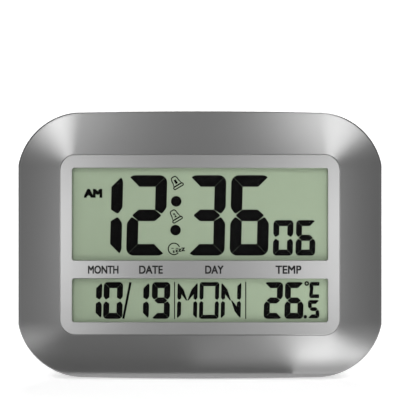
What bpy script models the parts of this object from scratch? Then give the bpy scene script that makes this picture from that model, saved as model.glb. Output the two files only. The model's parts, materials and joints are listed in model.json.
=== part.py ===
"""A large digital wall clock with a folding table stand.

Metres, +Z up. The clock stands on its rim and its open stand, leaning back, and faces -Y.
Every piece is modelled in the clock's own upright frame, with the centre of its face at the
origin, depth running back along +Y, and is carried by one empty that leans and lifts the clock.
"""

import math

import bmesh
import bpy
from mathutils import Matrix, Vector

# Case
CASE_WIDTH = 0.262
CASE_HEIGHT = 0.1933
CASE_DEPTH = 0.030
CORNER_RADIUS = 0.0476
SIDE_FLAT = 0.001           # the flat sides cut this much off the corner arcs
CROWN_RISE = 0.00105        # the top and bottom bow out this far past the corner arcs
WALL = 0.002
FIT = 0.0003                # clearance between pieces that touch
CORNER_STEPS = 7
CROWN_STEPS = 2

# Front bezel
BAND_DROP = 0.0068          # from the display frame back to the outer edge of the border
BAND_STEPS = 5
INNER_BAND_STEPS = 3
RIM_BACK = 0.013
RIM_ROUND = 0.0016
RIM_LIP = 0.0045            # width of the rim seen from behind

# Display frame and its windows
BORDER_SIDE = 0.0305        # the bezel's border beside the frame, and above and below it
BORDER_TOP = 0.032
FRAME_WIDTH = CASE_WIDTH - 2 * BORDER_SIDE
FRAME_HEIGHT = CASE_HEIGHT - 2 * BORDER_TOP
FRAME_RADIUS = 0.0112
FRAME_THICK = 0.0024
FRAME_PROUD = 0.0009
FRAME_BEVEL = 0.0009
FRAME_SIDE = 0.0087         # the frame's own bars: beside, above, below and between the windows
FRAME_HEAD = 0.00955
FRAME_FOOT = 0.00915
FRAME_BAR = 0.0131
WINDOW_WIDTH = FRAME_WIDTH - 2 * FRAME_SIDE
WINDOW_RADIUS = 0.0017
DATE_WINDOW_HEIGHT = 0.0312
DATE_WINDOW_BOTTOM = -FRAME_HEIGHT / 2 + FRAME_FOOT
DATE_WINDOW_TOP = DATE_WINDOW_BOTTOM + DATE_WINDOW_HEIGHT
TIME_WINDOW_BOTTOM = DATE_WINDOW_TOP + FRAME_BAR
TIME_WINDOW_TOP = FRAME_HEIGHT / 2 - FRAME_HEAD
WINDOW_BEVEL = 0.0007
LEDGE_THICK = 0.002

# Display layers
LENS_THICK = 0.0012
LENS_MARGIN = 0.003         # lens and glass reach past the windows by this much
LAYER_CLEAR = 0.0006        # from the layers' edges to the bezel round them
POLARISER_THICK = 0.0003
GLASS_THICK = 0.0011
SEGMENT_FILM_THICK = 0.0004
SEGMENT_RISE = 0.0002
REFLECTOR_THICK = 0.0004
CONTACT_LEDGE = 0.005       # the glass runs on below the reflector for its contacts
HOLDER_WALL = 0.0022
HOLDER_FLOOR = 0.0014
ZEBRA_WIDTH = 0.0024
ZEBRA_SHORT = 0.008         # the rubber connector ends this far inside the board's ends

# Display characters
SHEAR = 0.025
SEGMENT_GAP = 0.00015
DOT_RADIUS = 0.0037
TENTH_DOT_RADIUS = 0.0012
CORNER_SHARE = 0.72         # a character's outer corner radius, as a share of its bars' thickness
PINCH_SHARE = 0.40          # how far a character's side is pinched in at its middle
SHOULDER_SHARE = 0.62       # how far the pinch reaches up and down
BLUNT_SHARE = 0.11          # a bar's point stops this far short of the middle
SLANT_SHARE = 1.54          # a letter's slanting bar: its bend, tip and foot on the upright bar
SLANT_BEND = 0.59
SLANT_TIP = 0.125
SLANT_FOOT = 0.33
SLASH_WIDTH = 0.00125
ROW_FOOT = 7.4              # the date row's foot and head, in hundredths of its window's height
ROW_HEAD = 91.4

# Boards
BOARD_THICK = 0.0012
BOARD_SHORT = 0.0118        # the main board ends this far inside the display's layers
BOARD_HEIGHT = 0.056
BOARD_BELOW = 0.0038        # the main board ends this far below the rubber connector
BOARD_SCREW_EDGE = 0.006
BOARD_SCREW_DROP = 0.008
CHIP_RADIUS = 0.009
CHIP_HEIGHT = 0.0016
CRYSTAL_RADIUS = 0.0015
CRYSTAL_LENGTH = 0.008

# Rear cover
COVER_INSET = 0.0048
COVER_STRAIGHT = 0.0145     # depth at which the straight wall turns into the slope
SLOPE_SIDE = 0.027          # the slope's run from the case's edge to the panel, as seen from behind
SLOPE_TOP = 0.02165
PANEL_WIDTH = CASE_WIDTH - 2 * SLOPE_SIDE
PANEL_HEIGHT = CASE_HEIGHT - 2 * SLOPE_TOP
PANEL_RADIUS = 0.022
PANEL_EDGE = 0.0012
SLOPE_STEPS = 3
SLOPE_BULGE = 0.0012
WELL_WALL = 0.0016

# Stand
STAND_OPEN = math.radians(28)
STAND_SIDE = 0.029          # from the panel's sides to the stand
STAND_LEG = 0.015
STAND_BAR = 0.033
STAND_THICK = 0.0044
STAND_CORNER = 0.025
STAND_INNER_CORNER = 0.016
STAND_CORNER_STEPS = 4
STAND_ROUND = 0.0008
HINGE_DROP = 0.043          # from the panel's top to the hinge
FOOT_RISE = 0.00865         # from the case's bottom to the folded stand's foot
STAND_WIDTH = PANEL_WIDTH - 2 * STAND_SIDE
HINGE_HEIGHT = PANEL_HEIGHT / 2 - HINGE_DROP
STAND_LENGTH = HINGE_HEIGHT + CASE_HEIGHT / 2 - FOOT_RISE
KNUCKLE_WIDTH = 0.011
HEEL = 0.006
PIVOT_RADIUS = 0.0015
PIVOT_CLEAR = 0.0004
GROOVE_CLEAR = 0.0009
POCKET_WIDTH = 0.019
POCKET_BELOW = 0.008
POCKET_ABOVE = 0.0105

# Keyholes
KEYHOLE_INSIDE = 0.003      # the keyholes' middles lie this far inside the stand's sides
KEYHOLE_DROP = 0.019        # from the panel's top
KEYHOLE_SPAN = STAND_WIDTH - 2 * KEYHOLE_INSIDE
KEYHOLE_HEIGHT = PANEL_HEIGHT / 2 - KEYHOLE_DROP
KEYHOLE_RADIUS = 0.005
KEYHOLE_SLOT = 0.0048
KEYHOLE_RISE = 0.008
KEYHOLE_WELL_DEPTH = 0.009
KEYHOLE_WELL_RADIUS = 0.0062

# Battery compartment
BATTERY_RADIUS = 0.0071
BATTERY_LENGTH = 0.0505
BATTERY_SPACING = 0.0152
DOOR_WIDTH = 0.068
DOOR_HEIGHT = 0.034
DOOR_BOTTOM = 0.004
DOOR_THICK = 0.0018
LATCH_WIDTH = 0.019
LATCH_REACH = 0.0062
LATCH_DEPTH = 0.006
LATCH_THICK = 0.0012
SPRING_RADIUS = 0.0034
SPRING_TIP_RADIUS = 0.00255
SPRING_WIRE = 0.00035
SPRING_LENGTH = 0.0048
SPRING_TURNS = 3
SPRING_TURN_STEPS = 8
CONTACT_THICK = 0.0005
CONTACT_SIZE = 0.011
NUB_RADIUS = 0.0027
CELL_END_ROUND = 0.0004     # the can's rolled edge, in from its side
CELL_CRIMP = 0.0007

# Keys
KEY_NAMES = ("key_mode", "key_set", "key_up", "key_down", "key_alarm", "key_unit", "key_snooze")
KEY_WIDTH = 0.0064
KEY_HEIGHT = 0.0046
KEY_PITCH = 0.0094
KEY_ROW = -0.0115
KEY_PROUD = 0.002
KEY_TRAVEL = 0.0006
KEY_FLANGE = 0.0007
KEY_FLANGE_THICK = 0.0008
KEY_ROUND = 0.00115
KEY_SOFT = 0.00055
RECESS_WIDTH = 0.074
RECESS_TOP = -0.004
RECESS_HEIGHT = 0.026
RECESS_DEPTH = 0.006
RECESS_RADIUS = 0.003
SWITCH_SIZE = 0.006
SWITCH_HEIGHT = 0.002
SWITCH_DOME = 0.0006
KEY_BOARD_HEIGHT = 0.013
KEY_BOARD_SCREW_X = 0.0345
KEY_BOARD_DROP = 0.0052     # from the recess floor's inner side to the key board

# Screws
SCREW_IN_SIDE = 0.013       # from the case's sides, from its top and bottom, and both at the corners
SCREW_IN_TOP = 0.01215
SCREW_IN_CORNER = (0.0245, 0.02515)
SCREW_SHANK = 0.0012
SCREW_HEAD = 0.0026
SCREW_HEAD_THICK = 0.0018
SCREW_LENGTH = 0.009
SCREW_HOLE_CLEAR = 0.0004
BOSS_WALL = 0.0018
FRONT_BOSS_WALL = 0.0014
BOSS_SEAM = 0.0138          # depth at which the front and rear bosses meet
HEAD_SEAT = 0.0168
SMALL_SCREW_SHANK = 0.0009
SMALL_SCREW_HEAD = 0.002
SMALL_SCREW_LENGTH = 0.0045

# Sound and air
VENT_IN_SIDE = 0.0135       # from the panel's sides, and from its top and bottom
VENT_IN_TOP = 0.023
VENT_X = PANEL_WIDTH / 2 - VENT_IN_SIDE
VENT_Z = PANEL_HEIGHT / 2 - VENT_IN_TOP
VENT_PITCH = 0.009
VENT_WIDTH = 0.003
VENT_LENGTH = 0.022
GRILLE_Z = -0.006
GRILLE_RADIUS = 0.0118
GRILLE_SLOT = 0.0016
GRILLE_PITCH = 0.0034
GRILLE_SLOTS = 7
BUZZER_RADIUS = 0.0126
BUZZER_THICK = 0.0006
BUZZER_DROP = 0.0034        # from the panel's inner side to the disc
BUZZER_LIP = 0.0007
BUZZER_STEPS = 18
NOTCH_HEIGHT = 0.009
NOTCH_Z = -0.037
NOTCH_REACH = 0.0185
NOTCH_BACK = 0.0205
SENSOR_RADIUS = 0.0012
SENSOR_LENGTH = 0.005

for old in list(bpy.data.objects):
    bpy.data.objects.remove(old, do_unlink=True)

clock = bpy.data.objects.new("clock", None)
bpy.context.collection.objects.link(clock)


def material(name, colour, roughness, metallic=0.0, alpha=1.0):
    """A plain finish for one kind of piece."""
    finish = bpy.data.materials.new(name)
    finish.use_nodes = True
    shader = finish.node_tree.nodes["Principled BSDF"]
    shader.inputs["Base Color"].default_value = (*colour, 1.0)
    shader.inputs["Roughness"].default_value = roughness
    shader.inputs["Metallic"].default_value = metallic
    shader.inputs["Alpha"].default_value = alpha
    return finish


SATIN_SILVER = material("satin_silver", (0.42, 0.42, 0.43), 0.36, 1.0)
BRIGHT_SILVER = material("bright_silver", (0.58, 0.58, 0.59), 0.30, 1.0)
CLEAR = material("clear_window", (0.86, 0.88, 0.86), 0.05, alpha=0.1)
LCD_GREEN = material("display_green", (0.33, 0.41, 0.28), 0.45)
LCD_BLACK = material("display_black", (0.01, 0.01, 0.012), 0.45)
SMOKE_FILM = material("polariser_film", (0.45, 0.48, 0.42), 0.20, alpha=0.1)
DARK_PLASTIC = material("dark_plastic", (0.045, 0.048, 0.055), 0.55)
INNER_PLASTIC = material("inner_plastic", (0.70, 0.70, 0.68), 0.50)
KEY_RUBBER = material("key_rubber", (0.09, 0.09, 0.10), 0.60)
BOARD_GREEN = material("board_green", (0.03, 0.16, 0.07), 0.45)
CHIP_BLACK = material("chip_black", (0.015, 0.015, 0.017), 0.35)
STEEL = material("steel", (0.60, 0.60, 0.61), 0.28, 1.0)
BRASS = material("brass", (0.62, 0.46, 0.18), 0.32, 1.0)
BATTERY_JACKET = material("battery_jacket", (0.10, 0.22, 0.14), 0.35)
GREY_RUBBER = material("grey_rubber", (0.30, 0.30, 0.31), 0.75)


def add(name, bm, finish, smooth=35, parent=clock):
    """Turns a bmesh into a named piece of the clock."""
    bmesh.ops.recalc_face_normals(bm, faces=bm.faces)
    mesh = bpy.data.meshes.new(name)
    bm.to_mesh(mesh)
    bm.free()
    mesh.shade_smooth()
    mesh.set_sharp_from_angle(angle=math.radians(smooth))
    mesh.materials.append(finish)
    piece = bpy.data.objects.new(name, mesh)
    bpy.context.collection.objects.link(piece)
    piece.parent = parent
    return piece


def cutter(name, bm):
    """A shape that only cuts or joins, and is no piece of the clock."""
    shape = add(name, bm, DARK_PLASTIC)
    shape.hide_render = True
    shape.display_type = "WIRE"
    return shape


def boolean(piece, tool, operation="DIFFERENCE"):
    change = piece.modifiers.new(tool.name, "BOOLEAN")
    change.object = tool
    change.operation = operation


def whole_ring(quarter):
    """Mirrors a quarter outline, from the +X side round to the top centre, into a full one."""
    top_left = [(-x, z) for x, z in reversed(quarter[:-1])]
    lower_left = [(-x, -z) for x, z in quarter]
    lower_right = [(x, -z) for x, z in reversed(quarter[:-1])]
    return quarter + top_left + lower_left + lower_right


def case_outline(inset):
    """The case's outline, moved in: flat sides, corner arcs and a slightly bowed top."""
    centre_x = CASE_WIDTH / 2 + SIDE_FLAT - CORNER_RADIUS
    centre_z = CASE_HEIGHT / 2 - CROWN_RISE - CORNER_RADIUS
    drop = CROWN_RISE + CORNER_RADIUS
    crown = (centre_x ** 2 + drop ** 2 - CORNER_RADIUS ** 2) / (2 * CROWN_RISE)
    crown_z = CASE_HEIGHT / 2 - crown
    radius = CORNER_RADIUS - inset
    start = math.acos((CASE_WIDTH / 2 - inset - centre_x) / radius)
    end = math.atan2(centre_z - crown_z, centre_x)
    quarter = []
    for step in range(CORNER_STEPS + 1):
        angle = start + (end - start) * step / CORNER_STEPS
        quarter.append((centre_x + radius * math.cos(angle), centre_z + radius * math.sin(angle)))
    for step in range(1, CROWN_STEPS + 1):
        angle = end + (math.pi / 2 - end) * step / CROWN_STEPS
        arm = crown - inset
        quarter.append((arm * math.cos(angle), crown_z + arm * math.sin(angle)))
    quarter[-1] = (0.0, quarter[-1][1])
    return whole_ring(quarter)


def panel_outline(width, height, radius):
    """A rounded rectangle with the same number of points as the case's outline."""
    centre_x = width / 2 - radius
    centre_z = height / 2 - radius
    quarter = []
    for step in range(CORNER_STEPS + 1):
        angle = math.pi / 2 * step / CORNER_STEPS
        quarter.append((centre_x + radius * math.cos(angle), centre_z + radius * math.sin(angle)))
    for step in range(1, CROWN_STEPS + 1):
        quarter.append((centre_x * (1 - step / CROWN_STEPS), height / 2))
    return whole_ring(quarter)


def between(inner, outer, share):
    return [(a[0] + (b[0] - a[0]) * share, a[1] + (b[1] - a[1]) * share) for a, b in zip(inner, outer)]


def band_depth(share):
    """Depth of the border's surface, from its inner edge, 0, to its outer edge, 1."""
    return FRAME_PROUD + BAND_DROP * (0.25 * share + 0.75 * share * share)


def band_share(x, z):
    """How far across the border a place lies, from its inner edge, 0, to its outer edge, 1."""
    low, high = 0.0, 1.0
    outer_width = CASE_WIDTH - 2 * RIM_ROUND
    outer_height = CASE_HEIGHT - 2 * RIM_ROUND
    for _ in range(20):
        share = (low + high) / 2
        radius = FRAME_RADIUS + (CORNER_RADIUS - RIM_ROUND - FRAME_RADIUS) * share
        past_x = abs(x) - (FRAME_WIDTH + (outer_width - FRAME_WIDTH) * share) / 2 + radius
        past_z = abs(z) - (FRAME_HEIGHT + (outer_height - FRAME_HEIGHT) * share) / 2 + radius
        if math.hypot(max(past_x, 0), max(past_z, 0)) > radius:
            low = share
        else:
            high = share
    return low


def ring(bm, outline, depth):
    return [bm.verts.new((x, depth, z)) for x, z in outline]


def skin(bm, rings, closed=False):
    """Faces between each ring and the next, and from the last to the first where closed."""
    runs = list(zip(rings, rings[1:]))
    if closed:
        runs.append((rings[-1], rings[0]))
    for first, second in runs:
        for index in range(len(first)):
            following = (index + 1) % len(first)
            bm.faces.new((first[index], first[following], second[following], second[index]))


def prism(bm, outline, near, far):
    """A closed prism of an (x, z) outline between two depths."""
    face = bm.faces.new(ring(bm, outline, near))
    grown = bmesh.ops.extrude_face_region(bm, geom=[face])
    moved = [item for item in grown["geom"] if isinstance(item, bmesh.types.BMVert)]
    bmesh.ops.translate(bm, verts=moved, vec=(0, far - near, 0))


def rectangle(left, right, bottom, top):
    return [(left, bottom), (right, bottom), (right, top), (left, top)]


def round_box(left, right, bottom, top, radius, steps=3):
    """A rounded rectangle's outline."""
    corners = (
        (right - radius, top - radius, 0),
        (left + radius, top - radius, 90),
        (left + radius, bottom + radius, 180),
        (right - radius, bottom + radius, 270),
    )
    outline = []
    for x, z, start in corners:
        for step in range(steps + 1):
            angle = math.radians(start + 90 * step / steps)
            outline.append((x + radius * math.cos(angle), z + radius * math.sin(angle)))
    return outline


def circle(x, z, radius, steps=16):
    turn = 2 * math.pi / steps
    return [(x + radius * math.cos(turn * i), z + radius * math.sin(turn * i)) for i in range(steps)]


def slot_outline(x, bottom, top, radius, steps=6):
    """An upright slot with round ends; bottom and top are the centres of the ends."""
    outline = []
    for step in range(steps + 1):
        angle = math.pi * step / steps
        outline.append((x + radius * math.cos(angle), top + radius * math.sin(angle)))
    for step in range(steps + 1):
        angle = math.pi + math.pi * step / steps
        outline.append((x + radius * math.cos(angle), bottom + radius * math.sin(angle)))
    return outline


def turned(profile, place, steps=12):
    """A round solid spun from (radius, along) points about +Z, then placed by a matrix."""
    bm = bmesh.new()
    points = [bm.verts.new((radius, 0, along)) for radius, along in profile]
    edges = [bm.edges.new(pair) for pair in zip(points, points[1:])]
    bmesh.ops.spin(
        bm, geom=points + edges, cent=(0, 0, 0), axis=(0, 0, 1), dvec=(0, 0, 0),
        angle=2 * math.pi, steps=steps, use_merge=True,
    )
    bmesh.ops.remove_doubles(bm, verts=bm.verts, dist=1e-6)
    bmesh.ops.transform(bm, matrix=place, verts=bm.verts)
    return bm


FACE_BACK = Matrix.Rotation(-math.pi / 2, 4, "X")      # turns +Z to +Y
FACE_SIDE = Matrix.Rotation(math.pi / 2, 4, "Y")       # turns +Z to +X


def at(x, depth, z, turn=FACE_BACK):
    return Matrix.Translation((x, depth, z)) @ turn


def post(radius, x, near, far, z, steps=10):
    """A plain round post or hole running back from one depth to another."""
    length = far - near
    return turned([(0, 0), (radius, 0), (radius, length), (0, length)], at(x, near, z), steps)


def joined(*shapes):
    """Several closed shapes in one bmesh."""
    whole = bmesh.new()
    for shape in shapes:
        carried = bpy.data.meshes.new("carried")
        shape.to_mesh(carried)
        shape.free()
        whole.from_mesh(carried)
        bpy.data.meshes.remove(carried)
    return whole


def block(outline, near, far):
    bm = bmesh.new()
    prism(bm, outline, near, far)
    return bm


# Depths of the display's layers, from the face back
LENS_FRONT = FRAME_THICK + FIT
POLARISER_FRONT = LENS_FRONT + LENS_THICK + FIT
GLASS_FRONT = POLARISER_FRONT + POLARISER_THICK + FIT
FILM_FRONT = GLASS_FRONT + GLASS_THICK + FIT + SEGMENT_RISE
REFLECTOR_FRONT = FILM_FRONT + SEGMENT_FILM_THICK + FIT
FLOOR_FRONT = REFLECTOR_FRONT + REFLECTOR_THICK + FIT
BOARD_FRONT = FLOOR_FRONT + HOLDER_FLOOR + FIT
LEDGE_BACK = LENS_FRONT + LEDGE_THICK
LAYER_WIDTH = WINDOW_WIDTH + 2 * LENS_MARGIN
LAYER_TOP = TIME_WINDOW_TOP + LENS_MARGIN
LAYER_BOTTOM = DATE_WINDOW_BOTTOM - LENS_MARGIN


# Front bezel: a moulded shell with a bowed border, a recess for the display frame and a rim
def bezel_body():
    bm = bmesh.new()
    recess = panel_outline(FRAME_WIDTH + 2 * FIT, FRAME_HEIGHT + 2 * FIT, FRAME_RADIUS + FIT)
    opening = panel_outline(
        LAYER_WIDTH + 2 * LAYER_CLEAR, 2 * max(LAYER_TOP, -LAYER_BOTTOM) + 2 * LAYER_CLEAR, LAYER_CLEAR)
    backing = panel_outline(
        FRAME_WIDTH + 2 * (FIT + WALL), FRAME_HEIGHT + 2 * (FIT + WALL), FRAME_RADIUS + FIT + WALL)
    front_edge = case_outline(RIM_ROUND)
    inner_edge = case_outline(WALL + RIM_ROUND)
    rings = [ring(bm, opening, LENS_FRONT), ring(bm, recess, LENS_FRONT)]
    for step in range(BAND_STEPS + 1):
        share = step / BAND_STEPS
        rings.append(ring(bm, between(recess, front_edge, share), band_depth(share)))
    for degrees in (30, 60, 90):
        angle = math.radians(degrees)
        inset = RIM_ROUND * (1 - math.sin(angle))
        depth = band_depth(1) + RIM_ROUND * (1 - math.cos(angle))
        rings.append(ring(bm, case_outline(inset), depth))
    rings.append(ring(bm, case_outline(0), RIM_BACK - RIM_ROUND / 2))
    rings.append(ring(bm, case_outline(RIM_ROUND / 2), RIM_BACK))
    rings.append(ring(bm, case_outline(RIM_LIP), RIM_BACK))
    rings.append(ring(bm, case_outline(RIM_LIP), RIM_BACK - WALL))
    rings.append(ring(bm, case_outline(WALL), RIM_BACK - WALL))
    for step in range(INNER_BAND_STEPS, 0, -1):
        share = step / INNER_BAND_STEPS
        rings.append(ring(bm, between(backing, inner_edge, share), band_depth(share) + WALL))
    rings.append(ring(bm, backing, LEDGE_BACK))
    rings.append(ring(bm, opening, LEDGE_BACK))
    skin(bm, rings, closed=True)
    return bm


SCREW_SIDE_X = CASE_WIDTH / 2 - SCREW_IN_SIDE
SCREW_TOP_Z = CASE_HEIGHT / 2 - SCREW_IN_TOP
SCREW_CORNER_X = CASE_WIDTH / 2 - SCREW_IN_CORNER[0]
SCREW_CORNER_Z = CASE_HEIGHT / 2 - SCREW_IN_CORNER[1]
SCREW_PLACES = [
    (0.0, SCREW_TOP_Z),
    (SCREW_CORNER_X, SCREW_CORNER_Z),
    (SCREW_SIDE_X, 0.0),
    (SCREW_CORNER_X, -SCREW_CORNER_Z),
    (0.0, -SCREW_TOP_Z),
    (-SCREW_CORNER_X, -SCREW_CORNER_Z),
    (-SCREW_SIDE_X, 0.0),
    (-SCREW_CORNER_X, SCREW_CORNER_Z),
]
PILOT_RADIUS = SCREW_SHANK + SCREW_HOLE_CLEAR
FRONT_BOSS_RADIUS = PILOT_RADIUS + FRONT_BOSS_WALL
SCREW_TIP = HEAD_SEAT + FIT - SCREW_LENGTH


def boss_root(x, z):
    """A depth inside the border's wall all round a boss."""
    reach = 1 - FRONT_BOSS_RADIUS / math.hypot(x, z)
    front = band_depth(band_share(x * (2 - reach), z * (2 - reach)))
    back = band_depth(band_share(x * reach, z * reach)) + WALL
    return (front + back) / 2


bezel = add("front_bezel", bezel_body(), SATIN_SILVER)
front_bosses = cutter("front_bosses", joined(*[
    post(FRONT_BOSS_RADIUS, x, boss_root(x, z), BOSS_SEAM - FIT, z) for x, z in SCREW_PLACES]))
boolean(bezel, front_bosses, "UNION")
front_pilots = cutter("front_pilots", joined(*[
    post(PILOT_RADIUS, x, SCREW_TIP - FIT, BOSS_SEAM + WALL, z, 8) for x, z in SCREW_PLACES]))
boolean(bezel, front_pilots)


# Display frame: a bevelled plate with a tall and a low window
def frame_plate():
    """The plate's outer shape, with its bevelled front edge."""
    bm = bmesh.new()
    small = panel_outline(
        FRAME_WIDTH - 2 * FRAME_BEVEL, FRAME_HEIGHT - 2 * FRAME_BEVEL, FRAME_RADIUS - FRAME_BEVEL)
    full = panel_outline(FRAME_WIDTH, FRAME_HEIGHT, FRAME_RADIUS)
    rings = [ring(bm, small, 0), ring(bm, full, FRAME_BEVEL), ring(bm, full, FRAME_THICK)]
    skin(bm, rings)
    bm.faces.new(rings[0])
    bm.faces.new(rings[-1])
    return bm


def window_cut(bottom, top):
    """A window's opening, widening to the front."""
    bm = bmesh.new()
    half = WINDOW_WIDTH / 2
    wide = WINDOW_BEVEL * 2
    narrow = round_box(-half, half, bottom, top, WINDOW_RADIUS)
    flared = round_box(-half - wide, half + wide, bottom - wide, top + wide, WINDOW_RADIUS + wide)
    rings = [
        ring(bm, flared, -WINDOW_BEVEL), ring(bm, narrow, WINDOW_BEVEL), ring(bm, narrow, 2 * FRAME_THICK)]
    skin(bm, rings)
    bm.faces.new(rings[0])
    bm.faces.new(rings[-1])
    return bm


display_frame = add("display_frame", frame_plate(), BRIGHT_SILVER)
windows = cutter("windows", joined(
    window_cut(TIME_WINDOW_BOTTOM, TIME_WINDOW_TOP), window_cut(DATE_WINDOW_BOTTOM, DATE_WINDOW_TOP)))
boolean(display_frame, windows)


# Display layers: flat sheets stacked behind the frame
def layer(name, front, thick, finish, bottom=LAYER_BOTTOM):
    outline = rectangle(-LAYER_WIDTH / 2, LAYER_WIDTH / 2, bottom, LAYER_TOP)
    return add(name, block(outline, front, front + thick), finish)


layer("display_lens", LENS_FRONT, LENS_THICK, CLEAR)
layer("lcd_polariser", POLARISER_FRONT, POLARISER_THICK, SMOKE_FILM)
layer("lcd_glass", GLASS_FRONT, GLASS_THICK, CLEAR)
segment_film = layer(
    "lcd_segments", FILM_FRONT, SEGMENT_FILM_THICK, LCD_GREEN, LAYER_BOTTOM + CONTACT_LEDGE)
layer("lcd_reflector", REFLECTOR_FRONT, REFLECTOR_THICK, STEEL, LAYER_BOTTOM + CONTACT_LEDGE)


# Display characters: raised segments on the film
def turned_over(outline, sideways, upright):
    """The outline about its own middle, turned over where a factor is -1."""
    return [(x * sideways, z * upright) for x, z in outline]


def character_bars(wide, tall, thick):
    """Outlines of a character's bars about its middle: top a, clockwise b to f, middle g.

    F is a letter's upper left bar with the slanting bar that joins it, and B and C are its images.
    """
    gap = SEGMENT_GAP / 2
    side = wide / 2
    top = tall / 2
    inner = side - thick
    tip = side - PINCH_SHARE * thick
    blunt = BLUNT_SHARE * thick
    shoulder = SHOULDER_SHARE * thick
    radius = CORNER_SHARE * thick
    corner_x = side - radius * (1 - math.sqrt(0.5))
    corner_z = top - radius * (1 - math.sqrt(0.5))
    right_end = [(inner - gap, top - thick), (corner_x - gap, corner_z), (side - radius, top)]
    upper = right_end + turned_over(right_end[::-1], -1, 1)
    pinch = [(inner, thick / 2 + gap), (tip, blunt), (side, shoulder)]
    right = pinch + [(side, top - radius), (corner_x, corner_z - gap), (inner, top - thick - gap)]
    middle_end = [(inner, -thick / 2), (tip - gap, 0), (inner, thick / 2)]
    slant = pinch + [
        (side, top - radius), (corner_x, corner_z), (side - SLANT_SHARE * thick, SLANT_BEND * top),
        (gap, gap), (SLANT_TIP * side, gap), (inner, SLANT_FOOT * top),
    ]
    return {
        "a": upper, "b": right, "c": turned_over(right, 1, -1), "d": turned_over(upper, 1, -1),
        "e": turned_over(right, -1, -1), "f": turned_over(right, -1, 1),
        "g": middle_end + turned_over(middle_end[::-1], -1, 1),
        "F": turned_over(slant, -1, 1), "B": slant, "C": turned_over(slant, 1, -1),
    }


def column(place):
    """A place across the windows, in hundredths of their width from the left."""
    return WINDOW_WIDTH * (place / 100 - 0.5)


def level(window, place):
    """A height in a window, in hundredths of its height from its bottom."""
    bottom, top = window
    return bottom + (top - bottom) * place / 100


BARS = {
    "0": "abcdef", "1": "bc", "2": "abged", "3": "abgcd", "5": "afgcd", "6": "afgedc", "9": "abcdfg",
    "C": "afed", "M": "FBec", "O": "abcdef", "N": "FCbe",
}
TIME_WINDOW = (TIME_WINDOW_BOTTOM, TIME_WINDOW_TOP)
DATE_WINDOW = (DATE_WINDOW_BOTTOM, DATE_WINDOW_TOP)
# Each row: its window, foot, top and bar thickness, and its characters' left and right sides
ROWS = (
    (TIME_WINDOW, 5.3, 92.3, 0.0078, (
        ("1", 10.8, 19.9), ("2", 21.2, 37.1), ("3", 45.4, 60.1), ("6", 61.8, 77.0))),
    (TIME_WINDOW, 5.3, 43.6, 0.0038, (("0", 78.7, 86.6), ("6", 87.8, 95.3))),
    (DATE_WINDOW, ROW_FOOT, ROW_HEAD, 0.0040, (
        ("1", 6.4, 11.7), ("0", 12.4, 19.9), ("1", 25.0, 30.2), ("9", 31.2, 38.2), ("2", 75.3, 82.7),
        ("6", 83.4, 90.7))),
    (DATE_WINDOW, ROW_FOOT, ROW_HEAD, 0.0027, (("M", 41.1, 49.0), ("O", 49.8, 57.7), ("N", 58.3, 66.1))),
    (DATE_WINDOW, 8.0, 50.3, 0.0020, (("5", 92.6, 96.9),)),
    (DATE_WINDOW, 54.5, ROW_HEAD, 0.0021, (("C", 93.1, 96.8),)),
)
DOTS = (
    (TIME_WINDOW, 40.8, 64.0, DOT_RADIUS), (TIME_WINDOW, 40.5, 32.7, DOT_RADIUS),
    (DATE_WINDOW, 91.4, 11.5, TENTH_DOT_RADIUS),
)
SLASH = (20.6, 24.0)


def characters():
    bm = bmesh.new()
    back = FILM_FRONT + SEGMENT_FILM_THICK / 2
    front = FILM_FRONT - SEGMENT_RISE
    for window, foot, head, thick, run in ROWS:
        bottom = level(window, foot)
        tall = level(window, head) - bottom
        for name, first, last in run:
            left = column(first)
            wide = column(last) - left
            bars = character_bars(wide, tall, thick)
            for bar in BARS[name]:
                prism(bm, [
                    (left + wide / 2 + x + SHEAR * (z + tall / 2), bottom + tall / 2 + z)
                    for x, z in bars[bar]], front, back)
    for window, place, height, radius in DOTS:
        prism(bm, circle(column(place), level(window, height), radius), front, back)
    low = level(DATE_WINDOW, ROW_FOOT)
    high = level(DATE_WINDOW, ROW_HEAD)
    foot = column(SLASH[0])
    head = column(SLASH[1])
    prism(bm, [(foot, low), (foot + SLASH_WIDTH, low), (head, high), (head - SLASH_WIDTH, high)], front, back)
    return bm


raised = cutter("characters", characters())
raised.data.materials[0] = LCD_BLACK
boolean(segment_film, raised, "UNION")


# Display holder: a tray behind the layers, with a slot for the rubber connector
HOLDER_WIDTH = LAYER_WIDTH + 2 * (FIT + HOLDER_WALL)
HOLDER_TOP = LAYER_TOP + FIT + HOLDER_WALL
HOLDER_BOTTOM = LAYER_BOTTOM - FIT - HOLDER_WALL
HOLDER_FRONT = LEDGE_BACK + FIT
BOARD_WIDTH = LAYER_WIDTH - 2 * BOARD_SHORT
BOARD_SCREW_X = BOARD_WIDTH / 2 - BOARD_SCREW_EDGE
ZEBRA_LENGTH = BOARD_WIDTH - 2 * ZEBRA_SHORT
ZEBRA_TOP = LAYER_BOTTOM + CONTACT_LEDGE - FIT
BOARD_TOP = ZEBRA_TOP - ZEBRA_WIDTH - BOARD_BELOW + BOARD_HEIGHT
BOARD_SCREW_Z = BOARD_TOP - BOARD_SCREW_DROP
holder = add("lcd_holder", block(
    rectangle(-HOLDER_WIDTH / 2, HOLDER_WIDTH / 2, HOLDER_BOTTOM, HOLDER_TOP),
    HOLDER_FRONT, FLOOR_FRONT + HOLDER_FLOOR), INNER_PLASTIC)
holder_pocket = cutter("holder_pocket", block(
    rectangle(-LAYER_WIDTH / 2 - FIT, LAYER_WIDTH / 2 + FIT, LAYER_BOTTOM - FIT, LAYER_TOP + FIT),
    HOLDER_FRONT - WALL, FLOOR_FRONT))
boolean(holder, holder_pocket)
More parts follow.
